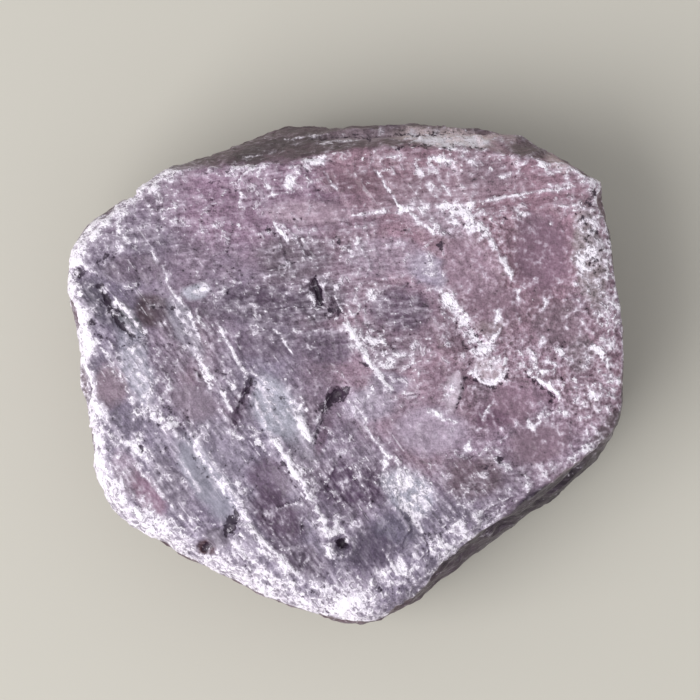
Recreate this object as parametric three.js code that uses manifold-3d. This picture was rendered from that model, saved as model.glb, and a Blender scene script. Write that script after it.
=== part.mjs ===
// A rough ruby: one tabular corundum crystal, broken out of its rock and lying on its flattest parting face.
// Seen from above it is an irregular hexagon with a broad, nearly flat top. Notches, ridges and grooves cross the
// top in the three directions of the crystal, 60 degrees apart. The back edge is a steep bevel, the other edges
// are bruised round, and the walls are broken in flat cleavage faces and level ledges.
//
// Millimetres, +Z up, +X right, +Y to the back. The origin is on the resting face, under the middle of the stone.

import * as THREE from "three";
import { ConvexGeometry } from "three/addons/geometries/ConvexGeometry.js";
import { ImprovedNoise } from "three/addons/math/ImprovedNoise.js";
import { mergeVertices } from "three/addons/utils/BufferGeometryUtils.js";
import Module from "manifold-3d";

// ---- Driving dimensions -------------------------------------------------------------------------------------

const TOP_HEIGHT = 20.4; // the top face over the origin
const TOP_RISE = { x: 0.012, y: 0.016 }; // rise of the top face per mm to the right and to the back
const BURIED = 2.0; // the walls run on this far below the resting face, where they are cut off
const TOP_RINGS = 24; // rings of points over the top face; the outermost holds six times as many points
const WALL_RINGS = 12;

// The stone's widest outline seen from above, counter-clockwise from the right.
const OUTLINE_SAMPLES = 720;
const OUTLINE = [
  [32.0, 0.5], [31.5, 6.9], [30.6, 13.6], [29.5, 19.7], [28.6, 23.7], [25.4, 26.0], [20.0, 27.8], [12.1, 28.9],
  [5.0, 29.1], [-1.5, 28.7], [-5.6, 29.0], [-10.3, 27.8], [-15.2, 25.6], [-20.7, 23.7], [-25.7, 20.3],
  [-29.9, 16.8], [-31.8, 13.7], [-31.9, 8.7], [-30.7, 3.6], [-30.7, 0.0], [-29.7, -4.7], [-29.0, -11.0],
  [-26.5, -16.1], [-20.7, -20.0], [-12.2, -24.6], [-5.1, -27.7], [1.2, -29.4], [6.0, -28.1], [13.3, -23.2],
  [21.2, -17.1], [28.2, -11.3], [31.8, -6.2],
];

// The rim, by compass azimuth in degrees. The bruised edge is round over `width` and falls by `drop`. The wall
// starts `inset` inside the outline, reaches it at the share `girth` of the way down, and ends `undercut` inside
// it at the foot.
const RIM = [
  { azimuth: 5, width: 3.4, drop: 0.6, inset: 0.1, girth: 0.15, undercut: 4.4 },
  { azimuth: 45, width: 2.6, drop: 1.2, inset: 0.1, girth: 0.15, undercut: 4.2 },
  { azimuth: 92, width: 1.0, drop: 0.5, inset: 0.0, girth: 0.3, undercut: 3.4 },
  { azimuth: 135, width: 1.8, drop: 1.5, inset: 0.2, girth: 0.3, undercut: 4.6 },
  { azimuth: 185, width: 1.9, drop: 2.2, inset: 0.1, girth: 0.3, undercut: 5.0 },
  { azimuth: 240, width: 3.6, drop: 2.9, inset: 0.3, girth: 0.35, undercut: 4.4 },
  { azimuth: 275, width: 3.0, drop: 2.0, inset: 0.8, girth: 0.5, undercut: 3.2 },
  { azimuth: 308, width: 1.2, drop: 0.7, inset: 2.7, girth: 0.7, undercut: 1.6 },
  { azimuth: 340, width: 2.2, drop: 1.2, inset: 1.4, girth: 0.5, undercut: 3.0 },
];

// The crest of the back bevel, from left to right, and the bevel's fall per mm behind it.
const BACK_CREST = [
  [-34, 22.4], [-20, 23.4], [-8, 24.2], [-4, 24.8], [1, 25.8], [9, 26.1], [16, 26.1], [20, 25.0], [26, 24.2],
  [34, 21.4],
];
const BACK_FALL = 2.0;

// Three-sided notches of the top face. The deepest corner is at `corner`. From it two steep sides run off, each
// given by its azimuth and the length over which it comes up to the top face, with a flat floor between them.
const NOTCHES = [
  { name: "left", corner: [-10.8, -0.5], depth: 0.85, sides: [[247, 7.4], [331, 7.6]] },
  { name: "middle", corner: [-1.0, -2.0], depth: 1.15, sides: [[243, 8.2], [303, 7.0]] },
  { name: "right", corner: [13.9, -0.2], depth: 0.9, sides: [[252, 5.6], [352, 5.2]] },
  { name: "feather", corner: [23.9, -2.7], depth: 0.9, sides: [[136, 5.4], [262, 3.4]] },
  { name: "streak", corner: [15.9, 3.5], depth: 0.8, sides: [[127, 9.0], [196, 4.6]] },
  { name: "left groove", corner: [-23.2, 4.3], depth: 1.0, sides: [[129, 6.6], [206, 3.6]] },
  { name: "front left", corner: [-12.0, -16.6], depth: 0.9, sides: [[122, 10.0], [204, 5.0]] },
  { name: "front right", corner: [16.4, -16.6], depth: 2.0, sides: [[36, 5.0], [236, 4.4]] },
  { name: "back", corner: [-5.8, 25.2], depth: 1.3, sides: [[350, 8.0], [172, 5.0]] },
];
const SIDE_SLOPE = 58; // corundum's rhombohedral faces stand at this angle to its level parting
const PAST_TOP = 1.6; // a notch's cutter is this many times as long as the notch, to come out above the top
const CUTTER_RISE = 3; // and its apex is this far above the top face

// Ridges of the top face, with their height over the face and how far each flank reaches.
const RIDGES = [
  {
    name: "front left", rise: 0.8, reach: 2.6,
    line: [[-21.5, -4.5], [-17.5, -8], [-14.8, -12], [-10.5, -18.5], [-5, -23.5]],
  },
  { name: "front", rise: 0.65, reach: 2.2, line: [[-8.2, -6], [-6, -11.4], [-2.5, -16.8], [-1.6, -20.5]] },
  { name: "left", rise: 0.5, reach: 3.0, line: [[-28.5, 11.5], [-24, 3], [-20.5, -4]] },
  { name: "upper left", rise: 0.35, reach: 2.4, line: [[-22.6, 14.6], [-18.3, 7.7], [-14.6, 2]] },
  { name: "upper right", rise: 0.4, reach: 2.4, line: [[13.4, 19.6], [17.8, 13.6], [19.4, 10]] },
  { name: "middle", rise: 0.35, reach: 2.0, line: [[-1, 7], [3.9, 0], [6.2, -4]] },
];

// Grooves of the top face, with their depth and half width.
const GROOVES = [
  { name: "back", depth: 0.6, reach: 1.0, line: [[-12, 18.4], [-3, 17.6], [8, 18.5], [19.4, 19.7], [28.2, 21.2]] },
  { name: "crack", depth: 1.2, reach: 0.8, line: [[-3.5, 11.8], [-3.4, 9.8], [-2.2, 7.4]] },
  { name: "bevel foot", depth: 0.5, reach: 1.0, line: [[4, 26.6], [12, 27], [20.4, 26]] },
];
const LINE_FADE = 2.2; // a ridge or groove dies out over this length at each end
const SNAP = 0.42; // points of the mesh this near to such a line are set on it

// Pits of the top face: place, radius and depth.
const PITS = [
  { name: "front hole", at: [-0.4, -19.7], radius: 1.5, depth: 1.3 },
  { name: "bruised pit", at: [-13.2, -17.7], radius: 1.5, depth: 0.8 },
  { name: "left nick", at: [-30.6, 11.6], radius: 1.7, depth: 1.4 },
  { name: "foot chip", at: [-16.0, -19.9], radius: 1.5, depth: 0.9 },
  { name: "middle hole", at: [-1.1, -2.5], radius: 1.5, depth: 0.6 },
];

// Flat cleavage faces. Each faces `azimuth`, tilted up by `lift` degrees, at `distance` from the stone's middle.
const STONE_MIDDLE = new THREE.Vector3(0, 0, 10);
const CLEAVAGES = [
  { name: "right wall", azimuth: 8, lift: -3, distance: 31.8 },
  { name: "right foot", azimuth: 352, lift: -42, distance: 26.9 },
  { name: "back right corner", azimuth: 58, lift: 4, distance: 34.7 },
  { name: "back right foot", azimuth: 38, lift: -31, distance: 31.6 },
  { name: "back wall", azimuth: 91, lift: 2, distance: 28.9 },
  { name: "back foot", azimuth: 84, lift: -34, distance: 26.4 },
  { name: "back left wall", azimuth: 122, lift: -3, distance: 30.7 },
  { name: "back left foot", azimuth: 137, lift: -41, distance: 26.4 },
  { name: "left wall", azimuth: 189, lift: -5, distance: 29.9 },
  { name: "left foot", azimuth: 175, lift: -47, distance: 24.9 },
  { name: "front left wall", azimuth: 242, lift: -7, distance: 27.1 },
  { name: "front left foot", azimuth: 227, lift: -39, distance: 24.0 },
  { name: "front right wall", azimuth: 309, lift: 5, distance: 26.3 },
  { name: "front right foot", azimuth: 299, lift: -37, distance: 24.0 },
];

// Ledges broken into the walls. Beyond `distance` in the direction `azimuth` the stone is gone `above` or below
// the level `height`, on the left or the right of `along` when looking out from the middle. The faces lean.
const LEDGES = [
  { name: "back left", azimuth: 124, distance: 29.2, height: 12.6, above: false, along: 2, left: true },
  { name: "back left low", azimuth: 118, distance: 27.6, height: 6.8, above: false, along: -3, left: false },
  { name: "back", azimuth: 92, distance: 27.3, height: 15.6, above: true, along: 4, left: false },
  { name: "left", azimuth: 190, distance: 28.2, height: 8.6, above: false, along: -2, left: true },
  { name: "front left", azimuth: 240, distance: 24.7, height: 10.2, above: false, along: 2, left: false },
  { name: "front left deep", azimuth: 243, distance: 23.4, height: 5.6, above: false, along: -4, left: true },
  { name: "front right", azimuth: 309, distance: 25.2, height: 13.6, above: true, along: -7, left: true },
  { name: "front right low", azimuth: 311, distance: 23.7, height: 4.8, above: false, along: 3, left: true },
  { name: "right", azimuth: 6, distance: 30.3, height: 8.0, above: false, along: 5, left: false },
  { name: "right low", azimuth: 14, distance: 29.6, height: 12.2, above: false, along: 7, left: true },
];
const LEDGE_LEAN = { wall: 0.14, end: 0.6, floor: 0.16, along: 0.05 }; // slopes of the faces of a ledge
const CUTTER_SIZE = 120;
const SAME_POINT = 1e-4;

// The uneven break: two sizes of lump over the whole stone, and level striations on the walls.
const LUMPS = [
  { size: 6.5, height: 0.4 },
  { size: 2.4, height: 0.22 },
];
const TOP_LUMPS = 0.6; // the top face is this much evener than the walls
const STRIATION = { spacing: 3.4, height: 0.4, waviness: 2 };
const RIM_EVENNESS = { lumps: 0.17, striations: 0.25 }; // shares of the wall over which these set in below the rim
const NOISE_PLACE = new THREE.Vector3(9.3, 4.1, 7.7);

const COLOUR = 0x96808f; // dusty mauve
const ROUGHNESS = 0.6;

// ---- Small maths --------------------------------------------------------------------------------------------

const perlin = new ImprovedNoise();
const clamp01 = (v) => Math.min(1, Math.max(0, v));
const smooth = (v) => clamp01(v) ** 2 * (3 - 2 * clamp01(v));
const radians = THREE.MathUtils.degToRad;
const lerp = THREE.MathUtils.lerp;
const wrapped = (degrees) => ((degrees % 360) + 360) % 360;
const flatDirection = (azimuth) => new THREE.Vector3(Math.cos(radians(azimuth)), Math.sin(radians(azimuth)), 0);

// The outline's radius at an azimuth, from a closed curve through its points.
const outlineRadius = (() => {
  const curve = new THREE.CatmullRomCurve3(OUTLINE.map(([x, y]) => new THREE.Vector3(x, y, 0)), true);
  const azimuthOf = (p) => wrapped(THREE.MathUtils.radToDeg(Math.atan2(p.y, p.x)));
  const table = curve.getPoints(OUTLINE_SAMPLES).slice(1).map((p) => ({ azimuth: azimuthOf(p), radius: p.length() }));
  table.sort((a, b) => a.azimuth - b.azimuth);
  return (azimuth) => {
    const next = table.findIndex((entry) => entry.azimuth > wrapped(azimuth));
    const high = table[Math.max(0, next)];
    const low = table[(next <= 0 ? table.length : next) - 1];
    return lerp(low.radius, high.radius, wrapped(azimuth - low.azimuth) / wrapped(high.azimuth - low.azimuth));
  };
})();

// One of the rim's measures at an azimuth, eased from each listed azimuth to the next.
function rimMeasure(key, azimuth) {
  const next = RIM.findIndex((side) => side.azimuth > wrapped(azimuth));
  const high = RIM[Math.max(0, next)];
  const low = RIM[(next <= 0 ? RIM.length : next) - 1];
  return lerp(low[key], high[key], smooth(wrapped(azimuth - low.azimuth) / wrapped(high.azimuth - low.azimuth)));
}

const rimRadius = (azimuth) => outlineRadius(azimuth) - rimMeasure("inset", azimuth);

// Height of a line whose points are given from left to right.
function heightOn(line, x) {
  const next = THREE.MathUtils.clamp(line.findIndex((p) => p[0] > x), 1, line.length - 1);
  const [a, b] = [line[next - 1], line[next]];
  return a[1] + ((b[1] - a[1]) * (x - a[0])) / (b[0] - a[0]);
}

// The nearest place on a broken line, its distance, and how much of the line is left before its nearer end.
function nearestOn(line, x, y) {
  const lengths = line.slice(1).map((b, i) => Math.hypot(b[0] - line[i][0], b[1] - line[i][1]));
  const whole = lengths.reduce((sum, length) => sum + length, 0);
  let nearest = { gap: Infinity };
  let passed = 0;
  lengths.forEach((length, i) => {
    const [[ax, ay], [bx, by]] = [line[i], line[i + 1]];
    const share = clamp01(((x - ax) * (bx - ax) + (y - ay) * (by - ay)) / length ** 2);
    const place = [lerp(ax, bx, share), lerp(ay, by, share)];
    const gap = Math.hypot(x - place[0], y - place[1]);
    const along = passed + share * length;
    if (gap < nearest.gap) nearest = { gap, place, toEnd: Math.min(along, whole - along) };
    passed += length;
  });
  return nearest;
}

// ---- The broken surface -------------------------------------------------------------------------------------

// A straight-flanked fold along a line: 1 on the line, 0 beyond `reach`, dying out at both ends.
function fold({ line, reach }, x, y) {
  const { gap, toEnd } = nearestOn(line, x, y);
  return clamp01(1 - gap / reach) * smooth(toEnd / LINE_FADE);
}

// The uneven break, as a shift of the surface at a point.
function unevenness(point) {
  const shift = ({ size, height }) => {
    const place = point.clone().divideScalar(size).add(NOISE_PLACE);
    return height * perlin.noise(place.x, place.y, place.z);
  };
  return LUMPS.reduce((sum, lump) => sum + shift(lump), 0);
}

// Height of the top face over (x, y), with its ridges, grooves, pits, back bevel and bruised rim.
function topHeight(x, y) {
  const azimuth = THREE.MathUtils.radToDeg(Math.atan2(y, x));
  const bruise = clamp01(1 - (rimRadius(azimuth) - Math.hypot(x, y)) / rimMeasure("width", azimuth));
  let z = TOP_HEIGHT + TOP_RISE.x * x + TOP_RISE.y * y;
  z += RIDGES.reduce((sum, ridge) => sum + ridge.rise * fold(ridge, x, y), 0);
  z -= GROOVES.reduce((sum, groove) => sum + groove.depth * fold(groove, x, y), 0);
  z -= PITS.reduce((sum, pit) => sum + pit.depth * smooth(1 - Math.hypot(x - pit.at[0], y - pit.at[1]) / pit.radius), 0);
  z -= rimMeasure("drop", azimuth) * bruise ** 2;
  z -= BACK_FALL * Math.max(0, y - heightOn(BACK_CREST, x));
  return z + TOP_LUMPS * unevenness(new THREE.Vector3(x, y, z));
}

// A point set on the nearest ridge or groove, where one is close by.
function snapped(x, y) {
  const near = [...RIDGES, ...GROOVES].map(({ line }) => nearestOn(line, x, y)).find(({ gap }) => gap < SNAP);
  return near ? near.place : [x, y];
}

function topPoint(share, azimuth) {
  const place = flatDirection(azimuth).multiplyScalar(share * rimRadius(azimuth));
  const [x, y] = share < 1 ? snapped(place.x, place.y) : [place.x, place.y];
  return new THREE.Vector3(x, y, topHeight(x, y));
}

// A point of the wall, at a share of the way down from the rim to the buried foot.
function wallPoint(share, azimuth) {
  const rim = topPoint(1, azimuth);
  const girth = rimMeasure("girth", azimuth);
  const inset = rimMeasure("inset", azimuth) * (1 - smooth(share / girth));
  const undercut = rimMeasure("undercut", azimuth) * smooth((share - girth) / (1 - girth));
  const outward = flatDirection(azimuth);
  const point = outward.clone().multiplyScalar(outlineRadius(azimuth) - inset - undercut);
  point.z = lerp(rim.z, -BURIED, share);
  const { spacing, height, waviness } = STRIATION;
  const layer = point.z / spacing + perlin.noise(outward.x * waviness, outward.y * waviness, NOISE_PLACE.z);
  const striation = height * (layer - Math.floor(layer) - 0.5) * smooth(share / RIM_EVENNESS.striations);
  return point.addScaledVector(outward, unevenness(point) * smooth(share / RIM_EVENNESS.lumps) + striation);
}

// ---- The mesh -----------------------------------------------------------------------------------------------

const ring = (count, pointAt) => Array.from({ length: count }, (_, i) => pointAt((360 * i) / count));

// The whole break as rings of points: 6k points on ring k of the top, then rings down the wall, and the foot.
function ringPoints() {
  const rings = [[topPoint(0, 0)]];
  for (let k = 1; k <= TOP_RINGS; k++) rings.push(ring(6 * k, (azimuth) => topPoint(k / TOP_RINGS, azimuth)));
  for (let k = 1; k <= WALL_RINGS; k++) rings.push(ring(6 * TOP_RINGS, (azimuth) => wallPoint(k / WALL_RINGS, azimuth)));
  rings.push([new THREE.Vector3(0, 0, -BURIED)]);
  return rings;
}

// Triangles between two closed rings, each given by the index of its first point and its number of points.
function band(inner, outer) {
  const triangles = [];
  const at = ({ first, count }, i) => first + (i % count);
  let [i, j] = [0, 0];
  while (i < inner.count || j < outer.count) {
    if (i === inner.count || (j < outer.count && (j + 1) * inner.count <= (i + 1) * outer.count)) {
      triangles.push([at(inner, i), at(outer, j), at(outer, j + 1)]);
      j += 1;
    } else {
      triangles.push([at(inner, i), at(outer, j), at(inner, i + 1)]);
      i += 1;
    }
  }
  return triangles.filter((corners) => new Set(corners).size === 3);
}

function brokenBody() {
  const rings = ringPoints();
  const spans = [];
  rings.forEach((points) => {
    const before = spans.at(-1);
    spans.push({ first: before ? before.first + before.count : 0, count: points.length });
  });
  const triangles = spans.slice(1).flatMap((span, i) => band(spans[i], span));
  return new THREE.BufferGeometry().setFromPoints(rings.flat()).setIndex(triangles.flat());
}

// ---- The cutters --------------------------------------------------------------------------------------------

// A box whose near face lies in a plane: everything beyond the plane is inside it.
function cutterBeyond(middle, normal, distance) {
  const box = new THREE.BoxGeometry(CUTTER_SIZE, CUTTER_SIZE, CUTTER_SIZE);
  const facing = new THREE.Quaternion().setFromUnitVectors(new THREE.Vector3(0, 0, 1), normal);
  const place = middle.clone().addScaledVector(normal, distance + CUTTER_SIZE / 2);
  return box.applyMatrix4(new THREE.Matrix4().compose(place, facing, new THREE.Vector3(1, 1, 1)));
}

function cleavageCutter({ azimuth, lift, distance }) {
  const normal = flatDirection(azimuth).multiplyScalar(Math.cos(radians(lift))).setZ(Math.sin(radians(lift)));
  return cutterBeyond(STONE_MIDDLE, normal, distance);
}

function ledgeCutter({ azimuth, distance, height, above, along, left }) {
  const half = CUTTER_SIZE / 2;
  const box = new THREE.BoxGeometry(CUTTER_SIZE, CUTTER_SIZE, CUTTER_SIZE);
  const [up, side] = [above ? 1 : -1, left ? 1 : -1];
  const { wall, end, floor, along: tilt } = LEDGE_LEAN;
  box.translate(half, side * half, up * half);
  box.applyMatrix4(new THREE.Matrix4().makeShear(0, -up * floor, 0, tilt, -up * wall, up * side * end));
  return box.translate(distance, along, height).rotateZ(radians(azimuth));
}

// A four-cornered wedge: the notch's corner, the far ends of its two sides, and an apex behind and above it.
function notchCutter({ corner, depth, sides }) {
  const deepest = new THREE.Vector3(...corner, topHeight(...corner) - depth);
  const ends = sides.map(([azimuth, length]) =>
    deepest.clone().addScaledVector(flatDirection(azimuth), PAST_TOP * length).setZ(deepest.z + PAST_TOP * depth),
  );
  const opening = radians(wrapped(sides[1][0] - sides[0][0]));
  const halfOpening = Math.min(opening, 2 * Math.PI - opening) / 2;
  const into = sides.reduce((sum, [azimuth]) => sum.add(flatDirection(azimuth)), new THREE.Vector3()).normalize();
  const height = depth + CUTTER_RISE;
  const lean = height / (Math.tan(radians(SIDE_SLOPE)) * Math.sin(halfOpening));
  const apex = deepest.clone().addScaledVector(into, -lean).setZ(deepest.z + height);
  return new ConvexGeometry([deepest, ...ends, apex]);
}

// ---- Cutting ------------------------------------------------------------------------------------------------

const wasm = await Module();
wasm.setup();

function solidOf(geometry) {
  const bare = new THREE.BufferGeometry().setAttribute("position", geometry.getAttribute("position"));
  const merged = mergeVertices(bare.setIndex(geometry.getIndex()), SAME_POINT);
  return new wasm.Manifold(
    new wasm.Mesh({
      numProp: 3,
      vertProperties: new Float32Array(merged.getAttribute("position").array),
      triVerts: new Uint32Array(merged.getIndex().array),
    }),
  );
}

function geometryOf(solid) {
  const { vertProperties, triVerts } = solid.getMesh();
  const geometry = new THREE.BufferGeometry().setAttribute("position", new THREE.BufferAttribute(vertProperties, 3));
  const faceted = geometry.setIndex(new THREE.BufferAttribute(triVerts, 1)).toNonIndexed();
  faceted.computeVertexNormals();
  return faceted;
}

function rubyGeometry() {
  const restingFace = cutterBeyond(new THREE.Vector3(), new THREE.Vector3(0, 0, -1), 0);
  const cutters = [
    ...CLEAVAGES.map(cleavageCutter),
    ...LEDGES.map(ledgeCutter),
    ...NOTCHES.map(notchCutter),
    restingFace,
  ];
  return geometryOf(cutters.reduce((solid, cutter) => solid.subtract(solidOf(cutter)), solidOf(brokenBody())));
}

// The geometry moved sideways until the middle of its box is over the origin.
function centred(geometry) {
  geometry.computeBoundingBox();
  const middle = geometry.boundingBox.getCenter(new THREE.Vector3());
  return geometry.translate(-middle.x, -middle.y, 0);
}

// ---- The part -----------------------------------------------------------------------------------------------

const ruby = new THREE.Mesh(
  centred(rubyGeometry()),
  new THREE.MeshStandardMaterial({ color: COLOUR, roughness: ROUGHNESS, metalness: 0 }),
);
ruby.name = "rough_ruby";

const part = new THREE.Group();
part.add(ruby);

export default part;
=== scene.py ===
"""A rough ruby: one thick, flat-topped piece of a crystal, broken, bruised white and scratched.

The stone stands in place of its plain solid. Its shape repeats the solid's: an irregular hexagon with
notches, ridges and grooves that follow the crystal's three directions, broken walls and a flat underside.
To that come the fine steps and facets of the break, and the colours: dusty mauve and pink faces, silvery
faces whose sheen is painted into their colour, dark pits, painted shade in hollows, on shaded risers and on
the walls that face away from the lamp, a bevel strip partly painted as light, and white powder on every worn
edge. Shape values are millimetres in the solid's own directions; the finished mesh is fitted to the solid's
box in the frame, in metres.
"""

import logging
import math
from dataclasses import dataclass, field
from enum import Enum

import bpy
import numpy as np
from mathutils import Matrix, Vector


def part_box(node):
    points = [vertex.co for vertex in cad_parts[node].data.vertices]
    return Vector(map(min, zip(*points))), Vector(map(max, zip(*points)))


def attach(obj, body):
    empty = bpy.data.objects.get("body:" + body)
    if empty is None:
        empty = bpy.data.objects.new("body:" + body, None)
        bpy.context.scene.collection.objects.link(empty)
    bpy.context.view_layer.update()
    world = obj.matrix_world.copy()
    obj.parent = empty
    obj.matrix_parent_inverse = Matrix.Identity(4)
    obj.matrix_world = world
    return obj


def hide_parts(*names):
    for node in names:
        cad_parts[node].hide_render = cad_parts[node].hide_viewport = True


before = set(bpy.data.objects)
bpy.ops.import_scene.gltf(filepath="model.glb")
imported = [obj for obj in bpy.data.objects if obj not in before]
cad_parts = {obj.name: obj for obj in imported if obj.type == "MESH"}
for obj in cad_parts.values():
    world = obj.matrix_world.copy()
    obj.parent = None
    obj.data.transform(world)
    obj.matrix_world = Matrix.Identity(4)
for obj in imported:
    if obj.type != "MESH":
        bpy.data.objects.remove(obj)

Array = np.ndarray
Point = tuple[float, float]
Line = tuple[Point, ...]
Colour = tuple[float, float, float]
Socket = bpy.types.NodeSocket
Value = Socket | float

SOLID = "rough_ruby"
MM = 0.001
UP = np.array([0.0, 0.0, 1.0])

log = logging.getLogger("rough_ruby")


class CrystalDirection(Enum):
    """The azimuths, in degrees and 60 degrees apart, along which the crystal parts."""

    LEVEL = 6.0
    FALLING = 126.0
    RISING = 66.0


# ---- Small maths ------------


def smooth(value: Array) -> Array:
    """Returns 0 to 1 eased at both ends, for a value that is clipped to 0 to 1."""
    v = np.clip(value, 0.0, 1.0)
    return v * v * (3.0 - 2.0 * v)


def direction(azimuth: float, lift: float = 0.0) -> Array:
    """Returns the unit vector that points along an azimuth and up by a lift, both in degrees."""
    turn, up = math.radians(azimuth), math.radians(lift)
    return np.array([math.cos(turn) * math.cos(up), math.sin(turn) * math.cos(up), math.sin(up)])


def azimuth_of(x: Array, y: Array) -> Array:
    """Returns the azimuth of places as seen from the upright axis, in degrees from 0 to 360."""
    return np.degrees(np.arctan2(y, x)) % 360.0


def turned(x: Array, y: Array, azimuth: float) -> tuple[Array, Array]:
    """Returns places along the width and depth in axes that are turned by an azimuth in degrees."""
    c, s, _ = direction(azimuth)
    return x * c + y * s, y * c - x * s


def around(sides: tuple[object, ...], name: str, azimuth: Array, eased: bool) -> Array:
    """Gives a measure that is listed for some sides of the stone, at directions between them.

    Args:
        sides: The sides, by rising azimuth.
        name: The measure's name.
        azimuth: Directions in degrees, from 0 to 360.
        eased: Whether the measure changes gently near the listed sides; otherwise it changes evenly.

    Returns:
        The measure in each direction, as values or as rows of three.
    """
    azimuths = np.array([side.azimuth for side in sides])
    values = np.array([getattr(side, name) for side in sides], dtype=float)
    after = np.searchsorted(azimuths, azimuth, side="right") % len(sides)
    before = after - 1
    share = ((azimuth - azimuths[before]) % 360.0) / ((azimuths[after] - azimuths[before]) % 360.0)
    return over(values[before], values[after], smooth(share) if eased else share)


def over(below: Array | float, above: Array | float, amount: Array) -> Array:
    """Blends values or colours towards others.

    Args:
        below: Values or colours where the amount is 0.
        above: Those where it is 1.
        amount: Amounts, clipped to 0 to 1.

    Returns:
        The blended values or colours.
    """
    share = np.clip(amount, 0.0, 1.0)
    if np.ndim(below) > share.ndim:
        share = share[:, None]
    return below * (1.0 - share) + above * share


# ---- Noise ------------


@dataclass(frozen=True)
class Noise:
    """Seeded noise that gives the same values on every run.

    Attributes:
        seed: Number that picks one of the patterns.
    """

    seed: int

    def at_lattice(self, *cells: Array) -> Array:
        """Gives one random value for each whole-number place of a lattice.

        Args:
            cells: The place's whole numbers, one array for each axis.

        Returns:
            Values of 0 to 1.
        """
        primes = (374761393, 668265263, 2147483629)
        mixed = np.full(cells[0].shape, self.seed * 974634777 & 0xFFFFFFFF, dtype=np.uint64)
        for cell, prime in zip(cells, primes):
            mixed = mixed + cell.astype(np.int64).astype(np.uint64) * np.uint64(prime)
        mixed &= np.uint64(0xFFFFFFFF)
        mixed = (mixed ^ (mixed >> np.uint64(13))) * np.uint64(1274126177) & np.uint64(0xFFFFFFFF)
        mixed ^= mixed >> np.uint64(16)
        mixed = mixed * np.uint64(2654435761) & np.uint64(0xFFFFFFFF)
        return (mixed ^ (mixed >> np.uint64(15))).astype(np.float64) / float(0xFFFFFFFF)

    def soft(self, points: Array, size: float) -> Array:
        """Gives smooth lumps.

        Args:
            points: Places, one row each, with two or three columns.
            size: Distance between lumps.

        Returns:
            Values of -1 to 1.
        """
        scaled = points / size
        cell = np.floor(scaled)
        share = smooth(scaled - cell)
        axes = points.shape[1]
        total = np.zeros(len(points))
        for corner in np.ndindex(*(2,) * axes):
            weight = np.ones(len(points))
            for axis, step in enumerate(corner):
                weight *= share[:, axis] if step else 1.0 - share[:, axis]
            total += weight * self.at_lattice(*(cell[:, axis] + corner[axis] for axis in range(axes)))
        return total * 2.0 - 1.0


@dataclass(frozen=True)
class Lumps:
    """Lumps of several sizes, each half the size of the one before.

    Attributes:
        seed: Number that picks the pattern.
        size: Distance between the largest lumps, in millimetres.
        height: Height of the largest lumps.
        octaves: Number of sizes.
        gain: Height of each size against the one before.
    """

    seed: int
    size: float
    height: float = 1.0
    octaves: int = 3
    gain: float = 0.5

    def at(self, points: Array) -> Array:
        """Gives the lumps' height.

        Args:
            points: Places in rows of two or three.

        Returns:
            Heights above and below 0.
        """
        total = np.zeros(len(points))
        share = 1.0
        for octave in range(self.octaves):
            layer = Noise(self.seed + 101 * octave)
            total += share * layer.soft(points, self.size / 2.0**octave)
            share *= self.gain
        return self.height * total


@dataclass(frozen=True)
class Streaks:
    """Smooth streaks that lie along an azimuth.

    Attributes:
        seed: Number that picks the pattern.
        azimuth: Direction of the streaks, in degrees.
        length: Length of a streak, in millimetres.
        width: Distance between streaks.
        height: Height of the streaks.
    """

    seed: int
    azimuth: float
    length: float
    width: float
    height: float = 1.0

    def at(self, x: Array, y: Array) -> Array:
        """Gives the streaks' height.

        Args:
            x, y: Places along the width and the depth.

        Returns:
            Heights above and below 0.
        """
        along, across = turned(x, y, self.azimuth)
        places = np.stack([along / self.length, across / self.width], axis=1)
        return self.height * Noise(self.seed).soft(places, 1.0)


@dataclass(frozen=True)
class Plates:
    """Flat broken plates whose borders lie in the crystal's three directions.

    Attributes:
        size: Mean width of a plate.
        seed: Number that picks the pattern.
        rise: Largest height of a plate over the face.
        tilt: Largest slope of a plate.
    """

    size: float
    seed: int
    rise: float = 0.0
    tilt: float = 0.0

    def cells(self, x: Array, y: Array) -> tuple[Array, Array, Array, Array]:
        """Finds the plate at each place.

        Args:
            x, y: Places along the width and the depth.

        Returns:
            The plate's two cell numbers, and the two distances from the plate's middle.
        """
        u, v = x / self.size, y / self.size
        base_u, base_v = np.floor(u), np.floor(v)
        nearest = np.full(x.shape, np.inf)
        found = [np.zeros(x.shape) for _ in range(4)]
        normals = [direction(border.value + 90.0) for border in CrystalDirection]
        for step_u, step_v in np.ndindex(3, 3):
            cell_u, cell_v = base_u + step_u - 1.0, base_v + step_v - 1.0
            gap_u = u - cell_u - Noise(self.seed).at_lattice(cell_u, cell_v)
            gap_v = v - cell_v - Noise(self.seed + 5).at_lattice(cell_u, cell_v)
            gap = np.max([np.abs(gap_u * n[0] + gap_v * n[1]) for n in normals], axis=0)
            closer = gap < nearest
            nearest = np.where(closer, gap, nearest)
            for place, value in enumerate((cell_u, cell_v, gap_u, gap_v)):
                found[place] = np.where(closer, value, found[place])
        return tuple(found)

    def own(self, x: Array, y: Array, kind: int) -> Array:
        """Returns a random value of -1 to 1 for the plate at each place, for one kind of measure."""
        cell_u, cell_v, _, _ = self.cells(x, y)
        return 2.0 * Noise(self.seed + 50 + kind).at_lattice(cell_u, cell_v) - 1.0

    def lift(self, x: Array, y: Array) -> Array:
        """Gives the plates' height.

        Args:
            x, y: Places along the width and the depth.

        Returns:
            Heights above and below 0.
        """
        cell_u, cell_v, gap_u, gap_v = self.cells(x, y)
        own = [2.0 * Noise(self.seed + kind).at_lattice(cell_u, cell_v) - 1.0 for kind in (21, 22, 23)]
        return self.rise * own[0] + self.tilt * self.size * (own[1] * gap_u + own[2] * gap_v)


# ---- Features of the top face ------------


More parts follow.
